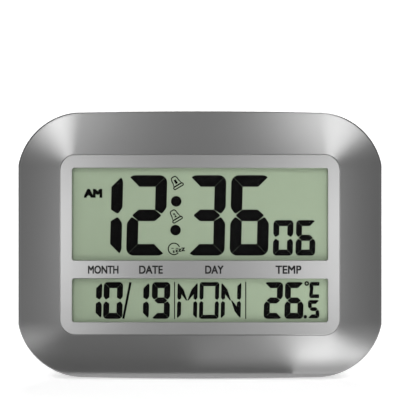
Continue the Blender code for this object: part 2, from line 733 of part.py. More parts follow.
zebra_slot = cutter("zebra_slot", block(rectangle(
    -ZEBRA_LENGTH / 2 - FIT, ZEBRA_LENGTH / 2 + FIT, ZEBRA_TOP - ZEBRA_WIDTH - FIT, ZEBRA_TOP + FIT),
    FLOOR_FRONT - WALL, FLOOR_FRONT + HOLDER_FLOOR + WALL))
boolean(holder, zebra_slot)
add("zebra_strip", block(
    rectangle(-ZEBRA_LENGTH / 2, ZEBRA_LENGTH / 2, ZEBRA_TOP - ZEBRA_WIDTH, ZEBRA_TOP),
    GLASS_FRONT + GLASS_THICK + FIT, BOARD_FRONT - FIT), GREY_RUBBER)


# Small screws: pan heads on plain shanks, driven in from the back or, on the key board, the front
def screw(name, x, seat, z, shank, head, head_thick, length):
    """The head's underside lies at the seat; the shank runs from it towards the face."""
    profile = [
        (0, -length), (shank * 0.5, -length), (shank, -length + shank), (shank, 0), (head, 0),
        (head, head_thick * 0.45), (head * 0.8, head_thick * 0.85), (head * 0.4, head_thick), (0, head_thick),
    ]
    return add(name, turned(profile, at(x, seat, z), 8), STEEL)


# Main board: carries the controller under its black cap and the clock crystal
BOARD_BACK = BOARD_FRONT + BOARD_THICK
board = add("circuit_board", block(
    rectangle(-BOARD_WIDTH / 2, BOARD_WIDTH / 2, BOARD_TOP - BOARD_HEIGHT, BOARD_TOP),
    BOARD_FRONT, BOARD_BACK), BOARD_GREEN)
board_holes = cutter("board_holes", joined(*[
    post(SMALL_SCREW_SHANK + FIT, x, BOARD_FRONT - WALL, BOARD_BACK + WALL, BOARD_SCREW_Z, 8)
    for x in (-BOARD_SCREW_X, BOARD_SCREW_X)]))
boolean(board, board_holes)
holder_pilots = cutter("holder_pilots", joined(*[
    post(SMALL_SCREW_SHANK + FIT, x, FLOOR_FRONT - WALL, BOARD_BACK, BOARD_SCREW_Z, 8)
    for x in (-BOARD_SCREW_X, BOARD_SCREW_X)]))
boolean(holder, holder_pilots)
BOARD_SCREW_LENGTH = BOARD_THICK + HOLDER_FLOOR + FIT
for number, x in enumerate((-BOARD_SCREW_X, BOARD_SCREW_X), 1):
    screw(f"board_screw_{number}", x, BOARD_BACK + FIT, BOARD_SCREW_Z,
          SMALL_SCREW_SHANK, SMALL_SCREW_HEAD, SMALL_SCREW_SHANK, BOARD_SCREW_LENGTH)
CHIP_Z = BOARD_TOP - BOARD_HEIGHT / 2
chip_profile = [(0, 0), (CHIP_RADIUS, 0), (CHIP_RADIUS * 0.86, CHIP_HEIGHT * 0.6), (0, CHIP_HEIGHT)]
add("controller_chip", turned(chip_profile, at(0.0, BOARD_BACK + FIT, CHIP_Z), 16), CHIP_BLACK)
add("quartz_crystal", turned(
    [(0, 0), (CRYSTAL_RADIUS, 0), (CRYSTAL_RADIUS, CRYSTAL_LENGTH), (0, CRYSTAL_LENGTH)],
    at(CHIP_RADIUS * 2, BOARD_BACK + FIT + CRYSTAL_RADIUS, CHIP_Z, FACE_SIDE), 10), STEEL)


# Rear cover: a moulded shell that slopes up to a flat back panel
def cover_shape(inset, front, straight, back):
    """The cover's closed outer shape, or with an inset the space inside it."""
    bm = bmesh.new()
    rim = case_outline(COVER_INSET + inset)
    shoulder = case_outline(COVER_INSET + inset + PANEL_EDGE / 2)
    panel = panel_outline(
        PANEL_WIDTH - 2 * inset, PANEL_HEIGHT - 2 * inset, PANEL_RADIUS - inset)
    face = panel_outline(
        PANEL_WIDTH - 2 * (inset + PANEL_EDGE), PANEL_HEIGHT - 2 * (inset + PANEL_EDGE),
        PANEL_RADIUS - inset - PANEL_EDGE)
    rings = [ring(bm, rim, front), ring(bm, rim, straight)]
    low = straight + PANEL_EDGE / 2
    high = back - PANEL_EDGE / 2
    for step in range(SLOPE_STEPS + 1):
        share = step / SLOPE_STEPS
        depth = low + (high - low) * share + SLOPE_BULGE * 4 * share * (1 - share)
        rings.append(ring(bm, between(panel, shoulder, 1 - share), depth))
    rings.append(ring(bm, face, back))
    skin(bm, rings)
    bmesh.ops.triangulate(bm, faces=bm.faces)
    bm.faces.new(rings[0])
    bm.faces.new(rings[-1])
    return bm


def stand_outline(clear=0.0, top=0.0, foot=0.0):
    """The stand's U, folded down, seen from behind: clear grows it on every side."""
    outer = STAND_WIDTH / 2 + clear
    inner = STAND_WIDTH / 2 - STAND_LEG - clear
    end = HINGE_HEIGHT - STAND_LENGTH - foot
    bar = HINGE_HEIGHT - STAND_LENGTH + STAND_BAR + clear
    radius = STAND_CORNER + clear
    inner_radius = STAND_INNER_CORNER - clear
    outline = [(inner, top), (outer, top)]

    def corner(middle_x, middle_z, arm, start, sweep):
        for step in range(STAND_CORNER_STEPS + 1):
            angle = math.radians(start + sweep * step / STAND_CORNER_STEPS)
            outline.append((middle_x + arm * math.cos(angle), middle_z + arm * math.sin(angle)))

    corner(outer - radius, end + radius, radius, 0, -90)
    corner(radius - outer, end + radius, radius, -90, -90)
    outline += [(-outer, top), (-inner, top)]
    corner(inner_radius - inner, bar + inner_radius, inner_radius, 180, 90)
    corner(inner - inner_radius, bar + inner_radius, inner_radius, 270, 90)
    return outline


# Depths and places at the back
PANEL_INSIDE = CASE_DEPTH - WALL
LEG_CENTRE = STAND_WIDTH / 2 - STAND_LEG / 2
HINGE_DEPTH = CASE_DEPTH - FIT - STAND_THICK / 2
GROOVE_FLOOR = HINGE_DEPTH - STAND_THICK / 2 - FIT
POCKET_FLOOR = HINGE_DEPTH - HEEL * math.sin(STAND_OPEN) - STAND_THICK / 2 * math.cos(STAND_OPEN) - FIT
WELL_PAST = CASE_DEPTH + 4 * WALL
GROOVE_FOOT = CASE_HEIGHT / 2
BATTERY_MIDDLE = DOOR_BOTTOM + DOOR_HEIGHT / 2
COMPARTMENT_LENGTH = BATTERY_LENGTH + SPRING_LENGTH + 2 * CONTACT_THICK + 5 * FIT
COMPARTMENT_HEIGHT = BATTERY_SPACING + 2 * BATTERY_RADIUS + 4 * FIT
DOOR_SEAT = CASE_DEPTH - DOOR_THICK - FIT
BATTERY_DEPTH = DOOR_SEAT - FIT - BATTERY_RADIUS
COMPARTMENT_FLOOR = BATTERY_DEPTH - BATTERY_RADIUS - FIT
RECESS_FLOOR = CASE_DEPTH - RECESS_DEPTH
RECESS_INSIDE = RECESS_FLOOR - WELL_WALL
RECESS_BOTTOM = RECESS_TOP - RECESS_HEIGHT
KEY_BOARD_BACK = RECESS_INSIDE - KEY_BOARD_DROP
KEY_XS = [KEY_PITCH * (i - (len(KEY_NAMES) - 1) / 2) for i in range(len(KEY_NAMES))]
KEYHOLE_FLOOR = CASE_DEPTH - KEYHOLE_WELL_DEPTH
BACK_BOSS_RADIUS = SCREW_HEAD + FIT + BOSS_WALL
PIVOT_REACH = POCKET_WIDTH / 2 + WELL_WALL * 0.6
BUZZER_FRONT = PANEL_INSIDE - BUZZER_DROP


def pivot(middle, depth, height, radius, reach):
    """A round pin or hole across a leg, reaching the same way to both sides of its middle."""
    profile = [(0, -reach), (radius, -reach), (radius, reach), (0, reach)]
    return turned(profile, at(middle, depth, height, FACE_SIDE), 10)


def pocket_outline(side, clear=0.0):
    """A hinge pocket: square below, round at the top, about one leg."""
    middle = side * LEG_CENTRE
    half = POCKET_WIDTH / 2 + clear
    bottom = HINGE_HEIGHT - POCKET_BELOW - clear
    top = HINGE_HEIGHT + POCKET_ABOVE + clear
    outline = [(middle - half, bottom), (middle + half, bottom)]
    for step in range(9):
        angle = math.pi * step / 8
        outline.append((middle + half * math.cos(angle), top - half + half * math.sin(angle)))
    return outline


def compartment(clear):
    half = COMPARTMENT_LENGTH / 2 + clear
    tall = COMPARTMENT_HEIGHT / 2 + clear
    return rectangle(-half, half, BATTERY_MIDDLE - tall, BATTERY_MIDDLE + tall)


def door_outline(clear):
    half = DOOR_WIDTH / 2 + clear
    return rectangle(-half, half, DOOR_BOTTOM - clear, DOOR_BOTTOM + DOOR_HEIGHT + clear)


def latch_outline(clear):
    half = LATCH_WIDTH / 2 + clear
    top = DOOR_BOTTOM + DOOR_HEIGHT + LATCH_REACH + clear
    return rectangle(-half, half, DOOR_BOTTOM + DOOR_HEIGHT - WALL - clear, top)


def recess_outline(clear):
    half = RECESS_WIDTH / 2 + clear
    return round_box(-half, half, RECESS_BOTTOM - clear, RECESS_TOP + clear, RECESS_RADIUS + clear)


def notch(clear):
    """A side notch: a wedge cut in the slope, deepest at its inner end."""
    bm = bmesh.new()
    inner = PANEL_WIDTH / 2 + FIT - clear
    outer = inner + NOTCH_REACH + 2 * clear
    shape = [(inner, NOTCH_BACK - clear), (outer, NOTCH_BACK - clear), (outer, CASE_DEPTH + WALL),
             (inner, CASE_DEPTH + WALL)]
    low = NOTCH_Z - NOTCH_HEIGHT / 2 - clear
    face = bm.faces.new([bm.verts.new((x, depth, low)) for x, depth in shape])
    grown = bmesh.ops.extrude_face_region(bm, geom=[face])
    moved = [item for item in grown["geom"] if isinstance(item, bmesh.types.BMVert)]
    bmesh.ops.translate(bm, verts=moved, vec=(0, 0, NOTCH_HEIGHT + 2 * clear))
    return bm


def buzzer_ring():
    """A round wall with a step inside it that the buzzer disc rests on."""
    bm = bmesh.new()
    hold = BUZZER_RADIUS + FIT
    outer = BUZZER_RADIUS + WELL_WALL
    lip = BUZZER_RADIUS - BUZZER_LIP
    step = BUZZER_FRONT + BUZZER_THICK + FIT
    near = BUZZER_FRONT - BUZZER_THICK
    far = PANEL_INSIDE + WALL / 2
    profile = [(hold, near), (outer, near), (outer, far), (lip, far), (lip, step), (hold, step)]
    skin(bm, [ring(bm, circle(-VENT_X, GRILLE_Z, radius, BUZZER_STEPS), depth) for radius, depth in profile],
         closed=True)
    return bm


def both_sides(make, *values):
    """A shape at +X and its mirror image at -X."""
    left = make(*values)
    bmesh.ops.scale(left, vec=(-1, 1, 1), verts=left.verts)
    bmesh.ops.reverse_faces(left, faces=left.faces)
    return joined(make(*values), left)


cover = add("rear_cover", cover_shape(0, RIM_BACK - WALL, COVER_STRAIGHT, CASE_DEPTH), DARK_PLASTIC)
cover_space = cutter("cover_space", cover_shape(
    WALL, RIM_BACK - 3 * WALL, COVER_STRAIGHT - WALL / 2, PANEL_INSIDE))
groove_walls = cutter("groove_walls", block(
    stand_outline(GROOVE_CLEAR + WELL_WALL, HINGE_HEIGHT, GROOVE_FOOT), GROOVE_FLOOR - WELL_WALL, WELL_PAST))
pocket_walls = cutter("pocket_walls", joined(*[
    block(pocket_outline(side, WELL_WALL), POCKET_FLOOR - WELL_WALL, WELL_PAST) for side in (-1, 1)]))
keyhole_walls = cutter("keyhole_walls", joined(*[
    block(slot_outline(x, KEYHOLE_HEIGHT, KEYHOLE_HEIGHT + KEYHOLE_RISE, KEYHOLE_WELL_RADIUS + WELL_WALL),
          KEYHOLE_FLOOR - WELL_WALL, WELL_PAST)
    for x in (-KEYHOLE_SPAN / 2, KEYHOLE_SPAN / 2)]))
middle_walls = cutter("middle_walls", joined(
    block(compartment(WELL_WALL), COMPARTMENT_FLOOR - WELL_WALL, WELL_PAST),
    block(recess_outline(WELL_WALL), RECESS_INSIDE, WELL_PAST)))
door_walls = cutter("door_walls", block(door_outline(WELL_WALL), DOOR_SEAT - WELL_WALL, WELL_PAST))
latch_walls = cutter("latch_walls", block(
    latch_outline(WELL_WALL), CASE_DEPTH - LATCH_DEPTH - WELL_WALL, WELL_PAST))
back_bosses = cutter("back_bosses", joined(*[
    post(BACK_BOSS_RADIUS, x, BOSS_SEAM, WELL_PAST, z) for x, z in SCREW_PLACES]))
key_board_bosses = cutter("key_board_bosses", joined(*[
    post(SMALL_SCREW_SHANK + FIT + WALL / 2, x, KEY_BOARD_BACK + FIT, RECESS_FLOOR, KEY_ROW, 10)
    for x in (-KEY_BOARD_SCREW_X, KEY_BOARD_SCREW_X)]))
notch_walls = cutter("notch_walls", both_sides(notch, WELL_WALL))
buzzer_wall = cutter("buzzer_wall", buzzer_ring())
for walls in (groove_walls, pocket_walls, keyhole_walls, middle_walls, door_walls, latch_walls,
              back_bosses, key_board_bosses, notch_walls, buzzer_wall):
    boolean(cover_space, walls)
boolean(cover, cover_space)

groove = cutter("groove", block(
    stand_outline(GROOVE_CLEAR, HINGE_HEIGHT - WALL, GROOVE_FOOT), GROOVE_FLOOR, WELL_PAST))
pockets = cutter("pockets", joined(*[
    block(pocket_outline(side), POCKET_FLOOR, WELL_PAST) for side in (-1, 1)]))
pivot_holes = cutter("pivot_holes", joined(*[
    pivot(side * LEG_CENTRE, HINGE_DEPTH, HINGE_HEIGHT, PIVOT_RADIUS + PIVOT_CLEAR, PIVOT_REACH + FIT)
    for side in (-1, 1)]))
keyholes = cutter("keyholes", joined(*[
    block(circle(x, KEYHOLE_HEIGHT, KEYHOLE_RADIUS), PANEL_INSIDE - WALL, WELL_PAST)
    for x in (-KEYHOLE_SPAN / 2, KEYHOLE_SPAN / 2)]))
key_slots = cutter("key_slots", joined(*[
    block(slot_outline(x, KEYHOLE_HEIGHT, KEYHOLE_HEIGHT + KEYHOLE_RISE, KEYHOLE_SLOT / 2),
          PANEL_INSIDE - WALL, WELL_PAST)
    for x in (-KEYHOLE_SPAN / 2, KEYHOLE_SPAN / 2)]))
keyhole_wells = cutter("keyhole_wells", joined(*[
    block(slot_outline(x, KEYHOLE_HEIGHT, KEYHOLE_HEIGHT + KEYHOLE_RISE, KEYHOLE_WELL_RADIUS),
          KEYHOLE_FLOOR, PANEL_INSIDE)
    for x in (-KEYHOLE_SPAN / 2, KEYHOLE_SPAN / 2)]))
middle_wells = cutter("middle_wells", joined(
    block(compartment(0), COMPARTMENT_FLOOR, WELL_PAST), block(recess_outline(0), RECESS_FLOOR, WELL_PAST)))
door_seat = cutter("door_seat", block(door_outline(FIT), DOOR_SEAT, WELL_PAST))
latch_well = cutter("latch_well", block(latch_outline(0), CASE_DEPTH - LATCH_DEPTH, WELL_PAST))
key_windows = cutter("key_windows", joined(*[
    block(rectangle(x - KEY_WIDTH / 2 - FIT, x + KEY_WIDTH / 2 + FIT,
                    KEY_ROW - KEY_HEIGHT / 2 - FIT, KEY_ROW + KEY_HEIGHT / 2 + FIT),
          RECESS_INSIDE - WALL, RECESS_FLOOR + WALL)
    for x in KEY_XS]))
screw_wells = cutter("screw_wells", joined(*[
    post(SCREW_HEAD + FIT, x, HEAD_SEAT, WELL_PAST, z) for x, z in SCREW_PLACES]))
screw_holes = cutter("screw_holes", joined(*[
    post(PILOT_RADIUS, x, BOSS_SEAM - WALL, HEAD_SEAT + WALL, z, 8) for x, z in SCREW_PLACES]))
board_pilots = cutter("board_pilots", joined(*[
    post(SMALL_SCREW_SHANK + FIT, x, KEY_BOARD_BACK - WALL, RECESS_INSIDE - FIT, KEY_ROW, 8)
    for x in (-KEY_BOARD_SCREW_X, KEY_BOARD_SCREW_X)]))
notches = cutter("notches", both_sides(notch, 0))


def vent_slots():
    slots = []
    for side in (-1, 1):
        for middle in (VENT_Z, -VENT_Z):
            for offset in (-VENT_PITCH / 2, VENT_PITCH / 2):
                reach = VENT_LENGTH / 2 - VENT_WIDTH / 2
                slots.append(block(
                    slot_outline(side * VENT_X + offset, middle - reach, middle + reach, VENT_WIDTH / 2, 3),
                    PANEL_INSIDE - WALL, WELL_PAST))
    return joined(*slots)


def grille_slots():
    slots = []
    for side in (-1, 1):
        for number in range(GRILLE_SLOTS):
            offset = GRILLE_PITCH * (number - (GRILLE_SLOTS - 1) / 2)
            reach = math.sqrt(GRILLE_RADIUS ** 2 - offset ** 2) - GRILLE_SLOT / 2
            slots.append(block(
                slot_outline(side * VENT_X + offset, GRILLE_Z - reach, GRILLE_Z + reach, GRILLE_SLOT / 2, 2),
                PANEL_INSIDE - WALL, WELL_PAST))
    return joined(*slots)


vents = cutter("vents", vent_slots())
grilles = cutter("grilles", grille_slots())
for hole in (groove, pockets, pivot_holes, keyhole_wells, keyholes, key_slots, middle_wells, door_seat,
             latch_well, key_windows, board_pilots, notches, vents, grilles, screw_wells, screw_holes):
    boolean(cover, hole)


# Case screws: eight, sunk in the rear cover's bosses and driven into the bezel's
for number, (x, z) in enumerate(SCREW_PLACES, 1):
    screw(f"case_screw_{number}", x, HEAD_SEAT + FIT, z,
          SCREW_SHANK, SCREW_HEAD, SCREW_HEAD_THICK, SCREW_LENGTH)


# Batteries: two AA cells side by side, with opposite ends to the right
def battery(name, height, turn):
    radius = BATTERY_RADIUS
    shoulder = BATTERY_RADIUS - CELL_END_ROUND
    half = BATTERY_LENGTH / 2
    profile = [
        (0, -half), (shoulder, -half), (radius, -half + CELL_CRIMP), (radius, half - 3 * CELL_CRIMP),
        (shoulder, half - 2 * CELL_CRIMP), (NUB_RADIUS, half - 2 * CELL_CRIMP), (NUB_RADIUS, half), (0, half),
    ]
    middle = turn * (SPRING_LENGTH + FIT) / 2
    place = at(middle, BATTERY_DEPTH, height, FACE_SIDE if turn > 0 else FACE_SIDE.inverted())
    return add(name, turned(profile, place, 16), BATTERY_JACKET)


UPPER_CELL = BATTERY_MIDDLE + BATTERY_SPACING / 2
LOWER_CELL = BATTERY_MIDDLE - BATTERY_SPACING / 2
battery("battery_1", UPPER_CELL, 1)
battery("battery_2", LOWER_CELL, -1)


def contact(name, side, bottom, top):
    """A flat contact plate against an end wall of the compartment."""
    outer = side * (COMPARTMENT_LENGTH / 2 - FIT)
    inner = outer - side * CONTACT_THICK
    outline = rectangle(min(inner, outer), max(inner, outer), bottom, top)
    return add(name, block(
        outline, BATTERY_DEPTH - CONTACT_SIZE / 2, BATTERY_DEPTH + CONTACT_SIZE / 2), STEEL)


contact("battery_link", -1, LOWER_CELL - CONTACT_SIZE / 2, UPPER_CELL + CONTACT_SIZE / 2)
contact("contact_positive", 1, UPPER_CELL - CONTACT_SIZE / 2, UPPER_CELL + CONTACT_SIZE / 2)
contact("contact_negative", 1, LOWER_CELL - CONTACT_SIZE / 2, LOWER_CELL + CONTACT_SIZE / 2)


def battery_spring(name, side, height):
    """A conical coil of one wire, wide at its plate and narrow at the cell."""
    start = COMPARTMENT_LENGTH / 2 - CONTACT_THICK - 2 * FIT - SPRING_WIRE
    run = SPRING_LENGTH - 2 * SPRING_WIRE
    steps = SPRING_TURN_STEPS * SPRING_TURNS
    points = []
    for step in range(steps + 1):
        share = step / steps
        angle = 2 * math.pi * SPRING_TURNS * share
        radius = SPRING_RADIUS + (SPRING_TIP_RADIUS - SPRING_RADIUS) * share
        points.append((
            side * (start - run * share), BATTERY_DEPTH + radius * math.cos(angle),
            height + radius * math.sin(angle)))
    curve = bpy.data.curves.new(name, "CURVE")
    curve.dimensions = "3D"
    curve.bevel_depth = SPRING_WIRE
    curve.bevel_resolution = 1
    curve.use_fill_caps = True
    spline = curve.splines.new("POLY")
    spline.points.add(steps)
    for point, place in zip(spline.points, points):
        point.co = (*place, 1)
    curve.materials.append(STEEL)
    piece = bpy.data.objects.new(name, curve)
    bpy.context.collection.objects.link(piece)
    piece.parent = clock
    apart = min(
        (Vector(a) - Vector(b)).length
        for i, a in enumerate(points) for b in points[i + SPRING_TURN_STEPS // 2 + 1:])
    print(f"{name}: least gap between turns {1000 * (apart - 2 * SPRING_WIRE):.2f} mm")
    return piece


battery_spring("battery_spring_1", -1, UPPER_CELL)
battery_spring("battery_spring_2", 1, LOWER_CELL)


# Battery door: turns out about its round lower edge, held shut by a tongue at its top edge
DOOR_TOP = DOOR_BOTTOM + DOOR_HEIGHT
DOOR_AXIS_DEPTH = CASE_DEPTH - DOOR_THICK / 2
DOOR_AXIS_HEIGHT = DOOR_BOTTOM + DOOR_THICK / 2


def across(profile, half):
    """A closed solid of a (depth, z) profile, reaching the same way to -X and +X."""
    bm = bmesh.new()
    face = bm.faces.new([bm.verts.new((-half, depth, z)) for depth, z in profile])
    grown = bmesh.ops.extrude_face_region(bm, geom=[face])
    moved = [item for item in grown["geom"] if isinstance(item, bmesh.types.BMVert)]
    bmesh.ops.translate(bm, verts=moved, vec=(2 * half, 0, 0))
    return bm


def door_plate():
    inner = CASE_DEPTH - DOOR_THICK
    profile = [(CASE_DEPTH, DOOR_TOP), (inner, DOOR_TOP)]
    for step in range(7):
        angle = math.radians(180 + 180 * step / 6)
        profile.append((
            DOOR_AXIS_DEPTH + DOOR_THICK / 2 * math.cos(angle),
            DOOR_AXIS_HEIGHT + DOOR_THICK / 2 * math.sin(angle)))
    return across(profile, DOOR_WIDTH / 2)


def door_tongue():
    tip = CASE_DEPTH - LATCH_DEPTH + FIT
    low = DOOR_TOP - WALL + FIT
    high = low + LATCH_THICK
    profile = [
        (CASE_DEPTH - DOOR_THICK / 2, low), (CASE_DEPTH - DOOR_THICK / 2, high), (tip + LATCH_THICK, high),
        (tip + LATCH_THICK / 2, high + LATCH_THICK), (tip, high + LATCH_THICK), (tip, low),
    ]
    return across(profile, LATCH_WIDTH / 2 - 2 * FIT)


door = add("battery_door", door_plate(), DARK_PLASTIC)
boolean(door, cutter("door_tongue", door_tongue()), "UNION")


# Keys: rubber caps held behind the recess floor by their flanges, over switches on a small board
def key_cap(x):
    bm = bmesh.new()
    top = RECESS_FLOOR + KEY_PROUD
    flange_back = RECESS_INSIDE - FIT
    flange_front = flange_back - KEY_FLANGE_THICK
    stem = KEY_BOARD_BACK + SWITCH_HEIGHT + SWITCH_DOME + KEY_TRAVEL + FIT

    def outline(grow):
        wide = KEY_WIDTH / 2 + grow
        tall = KEY_HEIGHT / 2 + grow
        return round_box(x - wide, x + wide, KEY_ROW - tall, KEY_ROW + tall, KEY_ROUND, 2)

    steps = [
        (-KEY_ROUND, stem), (-KEY_ROUND, flange_front), (KEY_FLANGE, flange_front), (KEY_FLANGE, flange_back),
        (0, flange_back), (0, top - KEY_SOFT), (-KEY_SOFT, top),
    ]
    rings = [ring(bm, outline(grow), depth) for grow, depth in steps]
    skin(bm, rings)
    bm.faces.new(rings[0])
    bm.faces.new(rings[-1])
    return bm


for name, x in zip(KEY_NAMES, KEY_XS):
    add(name, key_cap(x), KEY_RUBBER)

KEY_BOARD_HALF = KEY_BOARD_SCREW_X + SMALL_SCREW_HEAD + WALL / 2
KEY_BOARD_FRONT = KEY_BOARD_BACK - BOARD_THICK
key_board = add("key_board", block(rectangle(
    -KEY_BOARD_HALF, KEY_BOARD_HALF, KEY_ROW - KEY_BOARD_HEIGHT / 2, KEY_ROW + KEY_BOARD_HEIGHT / 2),
    KEY_BOARD_FRONT, KEY_BOARD_BACK), BOARD_GREEN)
switch_bodies = cutter("switch_bodies", joined(*[
    block(rectangle(x - SWITCH_SIZE / 2, x + SWITCH_SIZE / 2,
                    KEY_ROW - SWITCH_SIZE / 2, KEY_ROW + SWITCH_SIZE / 2),
          KEY_BOARD_BACK - BOARD_THICK / 2, KEY_BOARD_BACK + SWITCH_HEIGHT)
    for x in KEY_XS]))
boolean(key_board, switch_bodies, "UNION")
switch_domes = cutter("switch_domes", joined(*[
    post(SWITCH_SIZE / 4, x, KEY_BOARD_BACK + SWITCH_HEIGHT / 2,
         KEY_BOARD_BACK + SWITCH_HEIGHT + SWITCH_DOME, KEY_ROW, 8)
    for x in KEY_XS]))
boolean(key_board, switch_domes, "UNION")
key_board_holes = cutter("key_board_holes", joined(*[
    post(SMALL_SCREW_SHANK + FIT, x, KEY_BOARD_FRONT - WALL, KEY_BOARD_BACK + WALL, KEY_ROW, 8)
    for x in (-KEY_BOARD_SCREW_X, KEY_BOARD_SCREW_X)]))
boolean(key_board, key_board_holes)
for number, x in enumerate((-KEY_BOARD_SCREW_X, KEY_BOARD_SCREW_X), 1):
    fixing = screw(f"key_board_screw_{number}", x, KEY_BOARD_FRONT - FIT, KEY_ROW,
                   SMALL_SCREW_SHANK, SMALL_SCREW_HEAD, SMALL_SCREW_SHANK, SMALL_SCREW_LENGTH)
    fixing.data.transform(
        Matrix.Translation((x, KEY_BOARD_FRONT - FIT, KEY_ROW)) @ Matrix.Rotation(math.pi, 4, "X")
        @ Matrix.Translation((-x, FIT - KEY_BOARD_FRONT, -KEY_ROW)))


# Buzzer disc behind one set of sound slots, and the bead that senses the room's temperature
add("buzzer", post(
    BUZZER_RADIUS, -VENT_X, BUZZER_FRONT, BUZZER_FRONT + BUZZER_THICK, GRILLE_Z, BUZZER_STEPS), BRASS)
SENSOR_X = PANEL_WIDTH / 2 + 2 * FIT + 2 * SENSOR_RADIUS
sensor_profile = [
    (0, -SENSOR_LENGTH / 2), (SENSOR_RADIUS * 0.7, -SENSOR_LENGTH / 2), (SENSOR_RADIUS, 0),
    (SENSOR_RADIUS * 0.7, SENSOR_LENGTH / 2), (0, SENSOR_LENGTH / 2),
]
add("temperature_sensor", turned(
    sensor_profile, at(-SENSOR_X, NOTCH_BACK + FIT + SENSOR_RADIUS, NOTCH_Z, Matrix.Identity(4)), 10), BRASS)


# Stand: a moulded U on two pivots; its heels meet the pocket floors when it is fully open
EDGE_DEPTH = RIM_BACK - RIM_ROUND / 2
FOOT_DEPTH = HINGE_DEPTH + STAND_LENGTH * math.sin(STAND_OPEN)
FOOT_HEIGHT = HINGE_HEIGHT - STAND_LENGTH * math.cos(STAND_OPEN)
LEAN = math.atan2(FOOT_HEIGHT + CASE_HEIGHT / 2, FOOT_DEPTH - EDGE_DEPTH)


def stand_body():
    """The U, in its own frame: the hinge at the origin and the legs running down."""
    leg_top = HINGE_HEIGHT - POCKET_BELOW + WALL
    spare = STAND_THICK / 2
    bm = block(stand_outline(0, leg_top, spare), HINGE_DEPTH - STAND_THICK / 2, HINGE_DEPTH + STAND_THICK / 2)
    bmesh.ops.translate(bm, verts=bm.verts, vec=(0, -HINGE_DEPTH, -HINGE_HEIGHT))
    caps = [face for face in bm.faces if abs(face.normal.y) > 0.9]
    edges = {edge for face in caps for edge in face.edges}
    bmesh.ops.recalc_face_normals(bm, faces=bm.faces)
    bmesh.ops.bevel(bm, geom=list(edges), offset=STAND_ROUND, segments=1, profile=0.5, affect="EDGES",
                    material=-1)
    turn = STAND_OPEN - LEAN
    cut = bmesh.ops.bisect_plane(
        bm, geom=list(bm.verts) + list(bm.edges) + list(bm.faces), dist=1e-7,
        plane_co=(0, 0, -STAND_LENGTH), plane_no=(0, math.sin(turn), math.cos(turn)), clear_inner=True)
    rim = [item for item in cut["geom_cut"] if isinstance(item, bmesh.types.BMEdge)]
    bmesh.ops.edgeloop_fill(bm, edges=rim)
    return bm


stand = add("stand", stand_body(), DARK_PLASTIC)
stand.location = (0, HINGE_DEPTH, HINGE_HEIGHT)
stand.rotation_euler = (STAND_OPEN, 0, 0)
knuckles = cutter("knuckles", joined(*[
    block(rectangle(side * LEG_CENTRE - KNUCKLE_WIDTH / 2, side * LEG_CENTRE + KNUCKLE_WIDTH / 2,
                    -POCKET_BELOW, HEEL), -STAND_THICK / 2, STAND_THICK / 2)
    for side in (-1, 1)]))
pivots = cutter("pivots", joined(*[
    pivot(side * LEG_CENTRE, 0, 0, PIVOT_RADIUS, PIVOT_REACH) for side in (-1, 1)]))
for shape in (knuckles, pivots):
    shape.location = stand.location
    shape.rotation_euler = stand.rotation_euler
    boolean(stand, shape, "UNION")


# Lean the clock back on its open stand, and lift it so that the floor lies at Z = 0
clock.rotation_euler = (-LEAN, 0, 0)
bpy.context.view_layer.update()
corners = []
for piece in (bezel, stand):
    solid = piece.evaluated_get(bpy.context.evaluated_depsgraph_get())
    corners += [solid.matrix_world @ vertex.co for vertex in solid.to_mesh().vertices]
    solid.to_mesh_clear()
low = Vector(min(corner[axis] for corner in corners) for axis in range(3))
high = Vector(max(corner[axis] for corner in corners) for axis in range(3))
clock.location = (-(low.x + high.x) / 2, -(low.y + high.y) / 2, -low.z)
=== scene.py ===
import json
import math

import bmesh
import bpy
from mathutils import Matrix, Vector

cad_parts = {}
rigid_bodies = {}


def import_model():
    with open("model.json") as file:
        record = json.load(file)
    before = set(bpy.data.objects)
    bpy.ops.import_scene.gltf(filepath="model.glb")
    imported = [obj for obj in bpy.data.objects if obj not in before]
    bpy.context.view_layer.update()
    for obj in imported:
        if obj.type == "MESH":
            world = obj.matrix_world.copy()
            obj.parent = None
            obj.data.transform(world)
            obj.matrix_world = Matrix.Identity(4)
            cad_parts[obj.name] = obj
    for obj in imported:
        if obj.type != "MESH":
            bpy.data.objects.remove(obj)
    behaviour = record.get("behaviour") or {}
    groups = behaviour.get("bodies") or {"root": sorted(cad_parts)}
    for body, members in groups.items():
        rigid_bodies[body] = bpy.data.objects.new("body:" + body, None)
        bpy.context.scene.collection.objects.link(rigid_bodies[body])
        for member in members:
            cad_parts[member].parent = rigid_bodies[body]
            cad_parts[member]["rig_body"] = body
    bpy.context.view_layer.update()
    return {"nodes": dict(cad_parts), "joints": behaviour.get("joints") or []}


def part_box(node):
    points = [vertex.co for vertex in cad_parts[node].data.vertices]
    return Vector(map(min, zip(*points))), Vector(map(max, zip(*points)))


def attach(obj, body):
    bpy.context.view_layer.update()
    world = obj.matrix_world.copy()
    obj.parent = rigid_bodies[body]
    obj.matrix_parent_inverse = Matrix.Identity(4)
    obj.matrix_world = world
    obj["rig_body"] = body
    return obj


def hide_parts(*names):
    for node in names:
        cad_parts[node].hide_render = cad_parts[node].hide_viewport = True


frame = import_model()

# The clock's own frame
# The clock leans back on its stand, and its keys press straight in, so a key's joint gives the
# lean. Every piece is made upright, face forward, from the middle of the face, and then put in
# place. The lens is a plain sheet, so the middle of its box is its own middle.
LENS_MIDDLE = Vector((0, 0.0033, -0.0002))
press = next(joint for joint in frame["joints"] if joint["name"] == "key_mode_press")
lean = math.asin(press["axis"][2])
low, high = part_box("display_lens")
turn = Matrix.Rotation(-lean, 4, "X")
upright = Matrix.Translation((low + high) / 2 - turn @ LENS_MIDDLE) @ turn
FIT = 0.0003                # clearance between pieces that touch


